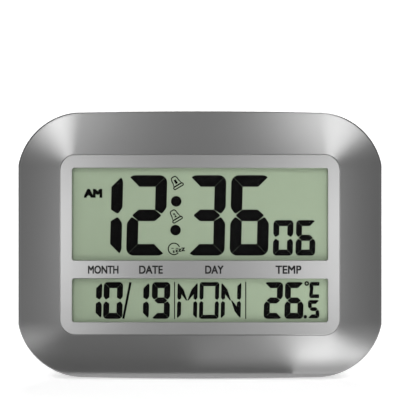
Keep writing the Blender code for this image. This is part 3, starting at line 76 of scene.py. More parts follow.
# Front bezel
# A shell moulded in plastic and finished in satin silver. Its wide border slopes back from the
# display to a small rounded rim, which turns in behind to a lip that the rear cover fits inside.
CASE_WIDTH = 0.262
CASE_HEIGHT = 0.19322
CORNER_RADIUS = 0.0476
SIDE_FLAT = 0.001           # the flat sides cut this much off the corner arcs
CROWN_RISE = 0.00105        # the top and bottom bow out by this much
FRAME_WIDTH = 0.201
FRAME_HEIGHT = 0.1293
FRAME_RADIUS = 0.0112
FRAME_PROUD = 0.0009
FRAME_GAP = 0.0001
BAND_DROP = 0.0068
OUTER_BOW = 0.08            # how far the border's slope bows out, as a share of its drop
INNER_BOW = 0.75            # its inner side keeps the bow of the frame's own piece
BAND_STEPS = 14
BAND_HOLD = 0.01            # share of the border beside each edge that keeps its shading crisp
FRAME_SEAT_EDGE = 0.0002    # roundness of the edge round the display frame
DRAFT = 0.00004             # flat steps are moulded with a hint of slope
RIM_BACK = 0.013
RIM_ROUND = 0.0016
RIM_LIP = 0.0045
WALL = 0.002
SEAT_DEPTH = 0.0027
LAYER_WIDTH = 0.1896
LAYER_TOP = 0.0581
LAYER_BOTTOM = -0.0585
LAYER_CLEAR = 0.0006


class Wire:
    """A socket of a finish; arithmetic on it adds Math nodes."""

    def __init__(self, finish, socket):
        self.finish = finish
        self.socket = socket

    def maths(self, operation, *values):
        return self.finish.node("ShaderNodeMath", {"operation": operation}, dict(enumerate(values)))

    def __add__(self, other):
        return self.maths("ADD", self, other)

    def __rsub__(self, other):
        return self.maths("SUBTRACT", other, self)

    def __mul__(self, other):
        return self.maths("MULTIPLY", self, other)

    def __gt__(self, other):
        return self.maths("GREATER_THAN", self, other)


class Finish:
    """One material, built up node by node in the clock's own upright frame."""

    def __init__(self, name, **values):
        self.material = bpy.data.materials.new(name)
        self.material.use_nodes = True
        self.tree = self.material.node_tree
        self.shader = self.tree.nodes["Principled BSDF"]
        for socket, value in values.items():
            self.set(socket.replace("_", " ").title().replace("Ior", "IOR"), value)
        world = self.node("ShaderNodeTexCoord", output="Object")
        away = upright.inverted()
        self.place = self.node("ShaderNodeMapping", {}, {
            "Vector": world, "Location": away.translation, "Rotation": away.to_euler()})

    def join(self, socket, value):
        if isinstance(value, Wire):
            self.tree.links.new(value.socket, socket)
        else:
            socket.default_value = value

    def set(self, socket, value):
        self.join(self.shader.inputs[socket], value)

    def node(self, kind, settings={}, sockets={}, output=0):
        made = self.tree.nodes.new(kind)
        for name, value in settings.items():
            setattr(made, name, value)
        for name, value in sockets.items():
            self.join(made.inputs[name], value)
        return Wire(self, made.outputs[output])

    def noise(self, scale, detail=2.0, roughness=0.5, stretch=(1, 1, 1)):
        """Noise with the given number of features a metre, from 0 to 1."""
        place = self.node(
            "ShaderNodeVectorMath", {"operation": "MULTIPLY"}, {0: self.place, 1: stretch})
        return self.node("ShaderNodeTexNoise", {}, {
            "Vector": place, "Scale": scale, "Detail": detail, "Roughness": roughness})

    def spread(self, value, low, high):
        """Turns a value from 0 to 1 into one from low to high."""
        return value * (high - low) + low

    def blend(self, factor, first, second):
        return self.node(
            "ShaderNodeMix", {"data_type": "RGBA"}, {0: factor, 6: first, 7: second}, 2)

    def bump(self, height, distance):
        """Raises the surface by a height from 0 to 1 times a distance in metres."""
        self.set("Normal", self.node("ShaderNodeBump", {}, {
            "Height": height, "Distance": distance, "Strength": 1.0}))

    def axis(self, name):
        """One of the clock's own coordinates, in metres."""
        return self.node("ShaderNodeSeparateXYZ", {}, {0: self.place}, name)


def shade(level):
    """A linear grey."""
    return (level, level, level, 1.0)


def speckled(name, grain, first, second, sheen=None, relief=0.0, **values):
    """A finish whose colour wanders between two with a noise, as can its roughness and height."""
    finish = Finish(name, **values)
    noise = finish.noise(*grain)
    finish.set("Base Color", finish.blend(noise, first, second))
    if sheen:
        finish.set("Roughness", finish.spread(noise, *sheen))
    if relief:
        finish.bump(noise, relief)
    return finish.material


def silver(name, level, roughness, stretch):
    """Satin silver: a very fine grain in the reflection and in the colour."""
    finish = Finish(name, metallic=1.0)
    grain = finish.noise(2600, 3.0, 0.6, stretch)
    cloud = finish.noise(22, 2.0)
    mottle = finish.spread(grain, 0.35, 0.75) * 0.7 + cloud * 0.3
    finish.set("Base Color", finish.blend(mottle, shade(level * 0.9), shade(level * 1.1)))
    finish.set("Roughness", finish.spread(grain, roughness - 0.04, roughness + 0.06))
    finish.bump(grain, 0.000006)
    return finish.material


def mesh_from(bm, name):
    mesh = bpy.data.meshes.new(name)
    bm.to_mesh(mesh)
    bm.free()
    return mesh


def linked(name, data):
    """A new object in the scene."""
    made = bpy.data.objects.new(name, data)
    bpy.context.scene.collection.objects.link(made)
    return made


def turned(bm, angle, axis):
    """Turns a whole shape about an axis through the middle."""
    bmesh.ops.rotate(bm, cent=(0, 0, 0), matrix=Matrix.Rotation(angle, 3, axis), verts=bm.verts)


def moved(bm, x, y, z):
    bmesh.ops.translate(bm, vec=(x, y, z), verts=bm.verts)
    return bm


def box_round(points):
    """The lowest and the highest corner of the box round some points."""
    return [Vector(pick(point[axis] for point in points) for axis in range(3))
            for pick in (min, max)]


def finished(name, bm, material, body, replaces=(), smooth=35, place=upright):
    """Turns an upright bmesh into a piece in its place, riding on a body of the frame."""
    bmesh.ops.recalc_face_normals(bm, faces=bm.faces)
    mesh = mesh_from(bm, name)
    mesh.transform(place)
    mesh.shade_smooth()
    mesh.set_sharp_from_angle(angle=math.radians(smooth))
    mesh.materials.append(material)
    piece = linked(name, mesh)
    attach(piece, body)
    if replaces:
        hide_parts(*replaces)
    return piece


CORNER_SEGMENTS = 24
SIDE_CUTS = 22
ARC_EDGE_MAX = 0.01         # longer edges of a loop are its straight sides


def plate(bm, width, height, radius, segments=CORNER_SEGMENTS):
    """A flat rounded rectangle, facing forward at the middle of the face."""
    old = set(bm.verts)
    bmesh.ops.create_grid(bm, x_segments=1, y_segments=1, size=0.5)
    corners = [vertex for vertex in bm.verts if vertex not in old]
    bmesh.ops.scale(bm, vec=(width, height, 1), verts=corners)
    bmesh.ops.rotate(bm, cent=(0, 0, 0), matrix=Matrix.Rotation(math.pi / 2, 3, "X"),
                     verts=corners)
    face = corners[0].link_faces[0]
    if radius:
        bmesh.ops.bevel(bm, geom=corners, offset=radius, segments=segments, profile=0.5,
                        affect="VERTICES", material=-1)
        face = next(vertex for vertex in bm.verts if vertex not in old).link_faces[0]
    return face


def loop(bm, width, height, radius, depth, crown=0.0, flat=0.0):
    """One closed run of edges at a depth: arcs, bowed top and bottom, flat sides."""
    face = plate(bm, width + 2 * flat, height - 2 * crown, radius)
    straight = [edge for edge in face.edges if edge.calc_length() > ARC_EDGE_MAX]
    bmesh.ops.subdivide_edges(bm, edges=straight, cuts=SIDE_CUTS)
    run = width / 2 + flat - radius
    for vertex in face.verts:
        if abs(vertex.co.x) < run:
            vertex.co.z += math.copysign(crown * (1 - (vertex.co.x / run) ** 2), vertex.co.z)
        vertex.co.x = max(-width / 2, min(width / 2, vertex.co.x))
    bmesh.ops.translate(bm, vec=(0, depth, 0), verts=face.verts)
    edges = list(face.edges)
    bmesh.ops.delete(bm, geom=[face], context="FACES_ONLY")
    return edges


def case_loop(bm, inset, depth):
    return loop(bm, CASE_WIDTH - 2 * inset, CASE_HEIGHT - 2 * inset, CORNER_RADIUS - inset,
                depth, CROWN_RISE, SIDE_FLAT)


def frame_loop(bm, grow, depth):
    return loop(
        bm, FRAME_WIDTH + 2 * grow, FRAME_HEIGHT + 2 * grow, FRAME_RADIUS + grow, depth)


def band_depth(share, bow=OUTER_BOW):
    """Depth of the border from its inner edge, 0, to its outer edge, 1: a slope less a bow."""
    return FRAME_PROUD + BAND_DROP * (share - bow * share * (1 - share))


def band_loop(bm, share, grow, inset, depth):
    """A run part of the way from the display's edge to the case's edge."""
    def part(inner, outer):
        return inner + (outer - inner) * share
    return loop(
        bm, part(FRAME_WIDTH + 2 * grow, CASE_WIDTH - 2 * inset),
        part(FRAME_HEIGHT + 2 * grow, CASE_HEIGHT - 2 * inset),
        part(FRAME_RADIUS + grow, CORNER_RADIUS - inset), depth,
        CROWN_RISE * share, SIDE_FLAT * share)


def bridged(bm, runs):
    """Skins the runs one after the other, and the last to the first."""
    for first, second in zip(runs, runs[1:] + runs[:1]):
        bmesh.ops.bridge_loops(bm, edges=first + second)


def bezel_shell():
    bm = bmesh.new()
    opening_top = max(LAYER_TOP, -LAYER_BOTTOM) + LAYER_CLEAR
    opening = (LAYER_WIDTH + 2 * LAYER_CLEAR, 2 * opening_top, LAYER_CLEAR)
    runs = [loop(bm, *opening, SEAT_DEPTH + DRAFT), frame_loop(bm, FRAME_GAP, SEAT_DEPTH),
            frame_loop(bm, FRAME_GAP, FRAME_PROUD + FRAME_SEAT_EDGE)]
    for degrees in (30, 60):
        angle = math.radians(degrees)
        runs.append(frame_loop(bm, FRAME_GAP + FRAME_SEAT_EDGE * (1 - math.cos(angle)),
                               FRAME_PROUD + FRAME_SEAT_EDGE * (1 - math.sin(angle))))
    even = [step / BAND_STEPS for step in range(1, BAND_STEPS)]
    shares = [0, BAND_HOLD, *even, 1 - BAND_HOLD, 1]
    for share in shares:
        runs.append(
            band_loop(bm, share, FRAME_GAP + FRAME_SEAT_EDGE, RIM_ROUND, band_depth(share)))
    for degrees in range(15, 91, 15):
        angle = math.radians(degrees)
        runs.append(case_loop(bm, RIM_ROUND * (1 - math.sin(angle)),
                              band_depth(1) + RIM_ROUND * (1 - math.cos(angle))))
    for degrees in range(0, 91, 30):
        angle = math.radians(degrees)
        half = RIM_ROUND / 2
        runs.append(case_loop(bm, half * (1 - math.cos(angle)),
                              RIM_BACK - half + half * math.sin(angle)))
    runs += [case_loop(bm, RIM_LIP, RIM_BACK - DRAFT),
             case_loop(bm, RIM_LIP, RIM_BACK - WALL + DRAFT),
             case_loop(bm, WALL, RIM_BACK - WALL)]
    for share in reversed(shares):
        runs.append(band_loop(bm, share, FIT + WALL, WALL + RIM_ROUND,
                              band_depth(share, INNER_BOW) + WALL))
    runs += [frame_loop(bm, FIT + WALL, SEAT_DEPTH + WALL),
             loop(bm, *opening, SEAT_DEPTH + WALL - DRAFT)]
    bridged(bm, runs)
    return bm


satin_silver = silver("satin_silver", 0.31, 0.30, (1, 1, 1))
finished("bezel_shell", bezel_shell(), satin_silver, "case", ["front_bezel"])


# Display frame
# A thin plate in a brighter silver with a soft edge, set in the bezel. A tall window shows the
# time and a low one the date, and the words between them are printed on the plate.
FRAME_THICK = 0.0024
FRAME_BEVEL = 0.0004
WINDOW_WIDTH = 0.1836
WINDOW_RADIUS = 0.0017
TIME_WINDOW = (-0.0112, 0.0551)
DATE_WINDOW = (-0.0555, -0.0243)
LABEL_HEIGHT = 0.0055
LABEL_BOTTOM = -0.0208
LABELS = (                  # each word with its left edge and its width
    ("MONTH", -0.0804, 0.0215), ("DATE", -0.0437, 0.0166), ("DAY", 0.0037, 0.0128),
    ("TEMP", 0.0542, 0.0182),
)
LABEL_WEIGHT = 0.0004       # how much the letters are fattened
INK_THICK = 0.00003


def solid(bm, faces, thick):
    """Thickens flat faces straight back."""
    grown = bmesh.ops.extrude_face_region(bm, geom=faces)
    behind = [item for item in grown["geom"] if isinstance(item, bmesh.types.BMVert)]
    bmesh.ops.translate(bm, verts=behind, vec=(0, thick, 0))


def slab(width, height, radius, thick, middle=(0, 0, 0), segments=8):
    """A rounded slab, from a depth back, about a middle."""
    bm = bmesh.new()
    solid(bm, [plate(bm, width, height, radius, segments)], thick)
    return moved(bm, *middle)


def evaluated_mesh(thing):
    """An object's mesh as its modifiers or its lettering make it."""
    bpy.context.view_layer.update()
    return bpy.data.meshes.new_from_object(
        thing.evaluated_get(bpy.context.evaluated_depsgraph_get()))


def shaped(piece, tools=(), operation="DIFFERENCE", round_edges=0.0, segments=3, angle=30,
           place=upright):
    """Cuts a piece with tool shapes, or joins them to it, and rounds its edges."""
    cutters = []
    for bm in tools:
        bmesh.ops.recalc_face_normals(bm, faces=bm.faces)
        mesh = mesh_from(bm, "tool")
        mesh.transform(place)
        tool = linked("tool", mesh)
        cutters.append(tool)
        change = piece.modifiers.new("shape", "BOOLEAN")
        change.object = tool
        change.operation = operation
    if round_edges:
        edge = piece.modifiers.new("edges", "BEVEL")
        edge.width = round_edges
        edge.segments = segments
        edge.limit_method = "ANGLE"
        edge.angle_limit = math.radians(angle)
        edge.use_clamp_overlap = True
        edge.harden_normals = True
    made = evaluated_mesh(piece)
    piece.modifiers.clear()
    old = piece.data
    piece.data = made
    made.name = piece.name
    bpy.data.meshes.remove(old)
    for tool in cutters:
        bpy.data.meshes.remove(tool.data)
    return piece


def window(bottom, top):
    return slab(WINDOW_WIDTH, top - bottom, WINDOW_RADIUS, 3 * FRAME_THICK,
                (0, -FRAME_THICK, (top + bottom) / 2))


bright_silver = silver("bright_silver", 0.42, 0.30, (0.35, 1, 1))
frame_plate = finished(
    "frame_plate", slab(FRAME_WIDTH, FRAME_HEIGHT, FRAME_RADIUS, FRAME_THICK, segments=16),
    bright_silver, "case", ["display_frame"])
shaped(frame_plate, [window(*TIME_WINDOW), window(*DATE_WINDOW)], round_edges=FRAME_BEVEL,
       segments=4)


def lettering(text, left, bottom, width, height, depth, thick):
    """Upright letters that fill a width and a height, facing forward, as a closed shape."""
    curve = bpy.data.curves.new("letters", "FONT")
    curve.body = text
    curve.extrude = 0.5
    curve.resolution_u = 6
    letters = linked("letters", curve)
    mesh = evaluated_mesh(letters)
    bpy.data.objects.remove(letters)
    bm = bmesh.new()
    bm.from_mesh(mesh)
    bpy.data.meshes.remove(mesh)
    bmesh.ops.remove_doubles(bm, verts=bm.verts, dist=1e-5)
    low, high = box_round([vertex.co for vertex in bm.verts])
    size = high - low
    moved(bm, *-low)
    bmesh.ops.scale(bm, vec=(width / size.x, height / size.y, thick / size.z), verts=bm.verts)
    turned(bm, math.pi / 2, "X")
    return moved(bm, left, depth + thick, bottom)


def heavy_lettering(text, left, bottom, width, height, depth, thick, weight):
    """The same letters fattened by a width, with copies moved aside and up."""
    shifts = (0, weight / 2, weight)
    return [lettering(text, left + across, bottom + up, width, height, depth, thick)
            for across in shifts for up in shifts]


def together(*shapes):
    """Several shapes in one bmesh."""
    whole = bmesh.new()
    for shape in shapes:
        carried = mesh_from(shape, "carried")
        whole.from_mesh(carried)
        bpy.data.meshes.remove(carried)
    return whole


ink = speckled("printed_black", (900, 2.0), shade(0.006), shade(0.016), roughness=0.5)
finished("frame_words", together(*[
    letters for word, left, width in LABELS
    for letters in heavy_lettering(word, left, LABEL_BOTTOM, width, LABEL_HEIGHT, -INK_THICK,
                                   INK_THICK, LABEL_WEIGHT)]), ink, "case")


# Display layers
# A clear lens covers the windows. Behind it the display's glass and its polariser are bonded into
# one grey-green cell. Its film of liquid crystal lies on the back of the glass.
LAYER_CORNER = 0.0005
CELL_FRONT = 0.0042
CELL_THICK = 0.0017
FILM_BOTTOM = -0.0535
FILM_FRONT = 0.0064
FILM_THICK = 0.0004


def covered(node, material):
    """Gives a node of the frame another finish."""
    mesh = frame["nodes"][node].data
    mesh.materials.clear()
    mesh.materials.append(material)


covered("display_lens", speckled(
    "clear_window", (60, 3.0), shade(0.05), shade(0.08), (0.04, 0.07), alpha=0.02))

display_green = Finish("display_green", roughness=0.55)
cells = display_green.noise(5200, 1.0)
drift = display_green.noise(9, 1.0)
display_green.set("Base Color", display_green.blend(
    cells * 0.5 + drift * 0.5, (0.350, 0.436, 0.300, 1.0), (0.384, 0.478, 0.331, 1.0)))
display_green.bump(cells, 0.000004)


def layer(name, bottom, front, thick, replaced):
    """A sheet from a lower edge up to the layers' common top."""
    sheet = slab(LAYER_WIDTH, LAYER_TOP - bottom, LAYER_CORNER, thick,
                 (0, front, (LAYER_TOP + bottom) / 2))
    finished(name, sheet, display_green.material, "case", replaced)


layer("display_cell", LAYER_BOTTOM, CELL_FRONT, CELL_THICK, ["lcd_polariser", "lcd_glass"])
layer("display_film", FILM_BOTTOM, FILM_FRONT, FILM_THICK, ["lcd_segments"])


# Display figures
# The figures that are lit show black on the cell. Each is cut from one plate with round corners
# into bars that meet in fine mitres and taper to points at half its height.
FIGURE_FRONT = CELL_FRONT - 0.0001
FIGURE_THICK = 0.0002
BAR_GAP = 0.00007
FIGURE_SHEAR = 0.025
CORNER_SHARE = 0.66         # sizes of a bar's corners and ends, as shares of its thickness
PINCH_DEEP = 0.40
PINCH_HALF = 0.66
PINCH_BLUNT = 0.11
PINCH_ROUND = 0.16
SLANT_SHARE = 1.54
SLANT_BEND = 0.59           # places along a slanting bar, as shares of half its height or width
SLANT_TIP = 0.125
SLANT_FOOT = 0.33
MARK_LINE = 0.0008
MARK_WEIGHT = 0.0003
BELL_LEAN = 31
BELL_SIDE = (               # half of a bell's outline, from its crown down
    (0.0007, 0.0046), (0.0018, 0.0043), (0.0026, 0.0028), (0.0028, 0.0004), (0.0034, -0.0024),
)
BELL_LIP = (0.0084, 0.0026, 0.0012)
BELL_LIP_DROP = -0.0034


def turned_over(cuts, across, down):
    """The same cuts on another side of a figure."""
    return [[Vector((spot.x * across, 0, spot.z * down)) for spot in cut] for cut in cuts]


def bar_cuts(wide, tall, thick):
    """For each bar, the lines that cut it off: a point on each line and the way that falls away.

    A and D are a letter's top and bottom bars with square ends to the right.
    """
    half_gap = BAR_GAP / 2
    inner = wide / 2 - thick
    mitre = Vector((1, 0, -1)).normalized()
    corner = Vector((inner, 0, tall / 2 - thick))
    heel = Vector((inner, 0, thick / 2))
    tip = Vector((wide / 2 - PINCH_DEEP * thick, 0, PINCH_BLUNT * thick))
    shoulder = Vector((wide / 2, 0, PINCH_HALF * thick))
    point = Vector((tip.x, 0, 0))

    def below(first, second):
        """The way that falls away under a line that runs to the right."""
        run = second - first
        return Vector((run.z, 0, -run.x)).normalized()

    end = [(corner - mitre * half_gap, mitre)]
    left_end = turned_over(end, -1, 1) + [(corner, Vector((0, 0, -1)))]
    top = end + left_end
    cut_short = Vector((wide / 2 - CORNER_SHARE * thick, 0, 0))
    square = left_end + [(cut_short, Vector((1, 0, 0)))]
    slope = below(heel, tip)
    side = [(corner + mitre * half_gap, -mitre), (corner, Vector((-1, 0, 0))),
            (heel - slope * half_gap, slope), (shoulder, below(tip, shoulder))]
    taper = -below(heel, point)
    bar = [(heel, Vector((0, 0, 1))), (heel - taper * half_gap, taper)]
    return {
        "a": top, "b": side, "c": turned_over(side, 1, -1), "d": turned_over(top, 1, -1),
        "e": turned_over(side, -1, -1), "f": turned_over(side, -1, 1),
        "g": [cut for across in (1, -1) for down in (1, -1)
              for cut in turned_over(bar, across, down)],
        "A": square, "D": turned_over(square, 1, -1),
    }


def bar_shape(wide, tall, thick, cuts):
    """One bar: the figure's plate, cut along its lines, with its tip rounded."""
    bm = bmesh.new()
    plate(bm, wide, tall, CORNER_SHARE * thick, 8)
    for point, away in cuts:
        bmesh.ops.bisect_plane(bm, geom=bm.verts[:] + bm.edges[:] + bm.faces[:], dist=1e-7,
                               plane_co=point, plane_no=away, clear_outer=True)
    tip = [vertex for vertex in bm.verts
           if abs(abs(vertex.co.x) - wide / 2) < thick * 0.5 and abs(vertex.co.z) < thick * 0.8]
    bmesh.ops.bevel(bm, geom=tip, offset=PINCH_ROUND * thick, segments=4, profile=0.5,
                    affect="VERTICES", material=-1, clamp_overlap=True)
    return bm


def slanting_bar(wide, tall, thick, across, down):
    """A letter's upright half and the slanting bar from its corner to the letter's middle."""
    gap = BAR_GAP / 2
    side = wide / 2
    top = tall / 2
    inner = side - thick
    bm = bmesh.new()
    outline = [
        (inner, thick / 2 + gap), (side - PINCH_DEEP * thick, PINCH_BLUNT * thick),
        (side, PINCH_HALF * thick), (side, top), (side - SLANT_SHARE * thick, SLANT_BEND * top),
        (gap, gap), (SLANT_TIP * side, gap), (inner, SLANT_FOOT * top)]
    points = [bm.verts.new((x, 0, z)) for x, z in outline]
    bm.faces.new(points)
    bmesh.ops.bevel(bm, geom=[points[3]], offset=CORNER_SHARE * thick, segments=8, profile=0.5,
                    affect="VERTICES", material=-1)
    bmesh.ops.scale(bm, vec=(across, 1, down), verts=bm.verts)
    return bm


def slanted(bm, left, right, bottom, top):
    """Moves a figure into its place, leaning with the others."""
    moved(bm, (left + right) / 2, 0, (bottom + top) / 2)
    for vertex in bm.verts:
        vertex.co.x += FIGURE_SHEAR * (vertex.co.z - bottom)
    for face in list(bm.faces):
        solid(bm, [face], FIGURE_THICK)
    return moved(bm, 0, FIGURE_FRONT, 0)


LIT_BARS = {
    "0": "abcdef", "1": "bc", "2": "abged", "3": "abgcd", "5": "afgcd", "6": "afgedc",
    "9": "abcdfg", "C": "AfeD", "M": "ec", "O": "abcdef", "N": "eb",
}
SLANTING_BARS = {"M": ((-1, 1), (1, 1)), "N": ((-1, 1), (1, -1))}


def figure(name, left, right, bottom, top, thick):
    """One figure or letter of the display."""
    wide = right - left
    tall = top - bottom
    cuts = bar_cuts(wide, tall, thick)
    shapes = [bar_shape(wide, tall, thick, cuts[bar]) for bar in LIT_BARS[name]]
    shapes += [slanting_bar(wide, tall, thick, *sides) for sides in SLANTING_BARS.get(name, ())]
    return [slanted(bm, left, right, bottom, top) for bm in shapes]


ROWS = (                    # bottom, top, bar thickness, and each figure with its left and right
    (-0.0078, 0.0500, 0.0083, (
        ("1", -0.0740, -0.0566), ("2", -0.0532, -0.0249), ("3", -0.0091, 0.0176),
        ("6", 0.0212, 0.0490))),
    (-0.0078, 0.0177, 0.0043, (("0", 0.0523, 0.0667), ("6", 0.0686, 0.0828))),
    (-0.0533, -0.0269, 0.0043, (
        ("1", -0.0808, -0.0709), ("0", -0.0698, -0.0559), ("1", -0.0468, -0.0369),
        ("9", -0.0351, -0.0219), ("2", 0.0457, 0.0592), ("6", 0.0606, 0.0742))),
    (-0.0533, -0.0269, 0.0029, (
        ("M", -0.0167, -0.0022), ("O", -0.0008, 0.0133), ("N", 0.0148, 0.0292))),
    (-0.0529, -0.0398, 0.0028, (("5", 0.0774, 0.0858),)),
    (-0.0384, -0.0268, 0.0027, (("C", 0.0785, 0.0874),)),
)
DOTS = (                    # place and radius
    (-0.0171, 0.0312, 0.0038), (-0.0176, 0.0105, 0.0038), (0.0757, -0.0518, 0.0013),
)
STROKES = (                 # start, end and width: the date's slash, two dividers, the C's upright
    ((-0.0552, -0.0532), (-0.0500, -0.0270), 0.0017),
    ((-0.0183, -0.0534), (-0.0183, -0.0268), 0.0007),
    ((0.0329, -0.0534), (0.0329, -0.0268), 0.0007),
    ((0.0800, -0.0350), (0.0804, -0.0302), 0.0025),
)


def on_film(bm, x, z, lean=0.0):
    """Puts marks, made about the middle, at their place on the display, leaning to the right."""
    turned(bm, lean, "Y")
    return moved(bm, x, FIGURE_FRONT, z)


def drawn_in_line(bm):
    """Leaves only a line along the edge of a flat shape."""
    bm.normal_update()
    face = bm.faces[:][0]
    bmesh.ops.inset_individual(bm, faces=[face], thickness=MARK_LINE)
    bmesh.ops.delete(bm, geom=[face], context="FACES_ONLY")
    solid(bm, bm.faces[:], FIGURE_THICK)
    return bm


def arc(radius, line, start=0.0, end=360.0):
    """A round line about the middle, from one angle to another, anticlockwise from the right."""
    bm = bmesh.new()
    ends = [bm.verts.new((reach, 0, 0)) for reach in (radius, radius - line) if reach > 0]
    ends += [bm.verts.new((0, 0, 0))] * (len(ends) < 2)
    edge = bm.edges.new(ends)
    turned(bm, -math.radians(start), "Y")
    bmesh.ops.spin(bm, geom=ends + [edge], cent=(0, 0, 0), axis=(0, -1, 0), dvec=(0, 0, 0),
                   angle=math.radians(end - start), steps=48, use_merge=end - start == 360)
    bmesh.ops.remove_doubles(bm, verts=bm.verts, dist=1e-6)
    solid(bm, bm.faces[:], FIGURE_THICK)
    return bm


def stroke(start, end, wide):
    """A straight mark between two places."""
    run = Vector(end) - Vector(start)
    x = (start[0] + end[0]) / 2
    z = (start[1] + end[1]) / 2
    return on_film(slab(wide, run.length, 0, FIGURE_THICK), x, z, math.atan2(run.x, run.y))


def bell(x, z, number):
    """A small tilted bell drawn in line, with its alarm's number inside and a round-ended lip."""
    dome = bmesh.new()
    dome.faces.new([dome.verts.new((reach * side, 0, rise))
                    for side in (1, -1) for reach, rise in BELL_SIDE[::side]])
    lip = bmesh.new()
    plate(lip, *BELL_LIP, 6)
    moved(lip, 0, 0, BELL_LIP_DROP)
    digit = heavy_lettering(number, -0.0009, -0.0012, 0.0014, 0.0029, 0, FIGURE_THICK, MARK_WEIGHT)
    return on_film(
        together(drawn_in_line(dome), drawn_in_line(lip), *digit), x, z, -math.radians(BELL_LEAN))


def sleeper(x, z):
    """The mark for a put-off alarm: a round face asleep, and letters that rise from its mouth."""
    ring = arc(0.0045, MARK_LINE, 20, 318)
    eyes = [slab(0.0018, 0.0005, 0.0002, FIGURE_THICK, (place, 0, 0.0004))
            for place in (-0.0010, 0.0021)]
    breath = ((-0.0010, 0.0013), (0.0010, 0.0016), (0.0031, 0.0019), (0.0053, 0.0023))
    letters = [
        letter for place, size in breath
        for letter in heavy_lettering(
            "z", place, 0.18 * place - 0.0026, size, size, 0, FIGURE_THICK, MARK_WEIGHT)]
    return on_film(together(ring, *eyes, *letters), x, z)


figures = [shape for bottom, top, thick, run in ROWS for name, left, right in run
           for shape in figure(name, left, right, bottom, top, thick)]
figures += [on_film(arc(radius, radius), x, z) for x, z, radius in DOTS]
figures.append(on_film(arc(0.0017, 0.0011), 0.0768, -0.0279))
figures += [stroke(*line) for line in STROKES]
figures += [bell(-0.0172, 0.0450, "1"), bell(-0.0179, 0.0209, "2"), sleeper(-0.0187, -0.0030)]
figures += heavy_lettering(
    "AM", -0.0836, 0.0338, 0.0122, 0.0053, FIGURE_FRONT, FIGURE_THICK, 0.0011)
lit_black = speckled("display_black", (5200, 1.0), shade(0.0012), shade(0.0024),
                     roughness=0.6, specular_ior_level=0.02)
finished("display_figures", together(*figures), lit_black, "case")


# Behind the display
# A foil reflector, a moulded tray that holds the layers against the bezel, and the rubber strip
# that joins the glass to the board. They are closed in, so they keep the frame's shapes with soft
# edges.
FLAT_WITHIN = 0.6           # degrees between faces that belong to one flat face
PATCHINESS = 0.12           # how far a moulding's colour wanders


def softened(node, name, material, edge=0.0003, segments=2, angle=30, smooth=35):
    """A finer copy of a node: its flat faces made whole again, and its edges rounded."""
    source = frame["nodes"][node]
    bm = bmesh.new()
    bm.from_mesh(source.data)
    bmesh.ops.remove_doubles(bm, verts=bm.verts, dist=2e-6)
    bmesh.ops.dissolve_limit(bm, angle_limit=math.radians(FLAT_WITHIN), verts=bm.verts,
                             edges=bm.edges)
    piece = finished(
        name, bm, material, source["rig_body"], [node], smooth, Matrix.Identity(4))
    if edge:
        shaped(piece, round_edges=edge, segments=segments, angle=angle)
    return piece


covered("lcd_reflector", speckled(
    "reflector_foil", (3000, 2.0), shade(0.62), shade(0.75), (0.4, 0.6), metallic=0.6))


def moulded(name, colour, roughness, grain=1900, depth=0.00002):
    """Moulded plastic or rubber: a fine even grain, with the sheen slightly uneven."""
    finish = Finish(name)
    pits = finish.noise(grain, 3.0, 0.62)
    patches = finish.noise(26, 2.0)
    dark = tuple(value * (1 - PATCHINESS) for value in colour) + (1.0,)
    pale = tuple(value * (1 + PATCHINESS) for value in colour) + (1.0,)
    finish.set("Base Color", finish.blend(pits * 0.6 + patches * 0.4, dark, pale))
    finish.set("Roughness", finish.spread(
        patches * 0.5 + pits * 0.5, roughness - 0.07, roughness + 0.08))
    finish.bump(pits, depth)
    return finish.material


inner_plastic = moulded("inner_plastic", (0.66, 0.66, 0.63), 0.5)
softened("lcd_holder", "display_tray", inner_plastic)
grey_rubber = moulded("grey_rubber", (0.27, 0.27, 0.28), 0.75)
softened("zebra_strip", "contact_strip", grey_rubber, 0.0002)


# Boards
# Two glass-fibre boards under green varnish, with copper tracks that show through it as paler
# lines. The main one carries its chip under a drop of black resin and the clock's crystal in a
# steel can.
TRACKS_ALONG = 240          # tracks a metre
TRACKS_DOWN = 300
TRACK_GAP = 0.62            # share of the pitch between tracks that is bare

board_green = Finish("board_green", roughness=0.38)
weave = board_green.noise(1400, 2.0)
along = board_green.axis("X").maths("FRACT", board_green.axis("X") * TRACKS_ALONG) > TRACK_GAP
down = board_green.axis("Z").maths("FRACT", board_green.axis("Z") * TRACKS_DOWN) > TRACK_GAP
choice = board_green.noise(90, 0.0) > 0.5
tracks = choice * along + (1 - choice) * down
board_green.set("Base Color", board_green.blend(
    tracks * 0.8 + weave * 0.2, (0.012, 0.085, 0.035, 1.0), (0.045, 0.21, 0.085, 1.0)))
board_green.bump(tracks, 0.00003)
softened("circuit_board", "main_board", board_green.material, 0.0001)
softened("key_board", "switch_board", board_green.material, 0.0001)
chip_black = moulded("chip_black", (0.012, 0.012, 0.014), 0.28, 700, 0.00001)
softened("controller_chip", "chip_cap", chip_black, 0.0005, 4)

steel = speckled("steel", (2200, 2.0, 0.6, (1, 0.2, 1)), shade(0.50), shade(0.66), (0.22, 0.4),
                 0.000005, metallic=1.0)
softened("quartz_crystal", "crystal_can", steel, 0.0003, 3, 50)


# Rear cover
# One dark moulded shell whose edges slope up to a flat panel. The slopes are a little bluer and
# glossier than the panel, and paler: a painted light from above. The panel's darker copy of the
# same plastic is painted shade. The panel holds the stand's groove, the battery bay, the key
# recess and the slots. The ends of the screw bosses are trimmed to stay under the border.
BOSS_COVER = 0.0005         # silver left over the ends of the cover's bosses
COVER_STEPS = 8
COVER_FRONT = -0.01         # the trimming shape starts well before the face
PANEL_DEPTH = 0.0295
PANEL_HALF_WIDTH = 0.096
PANEL_HALF_HEIGHT = 0.067
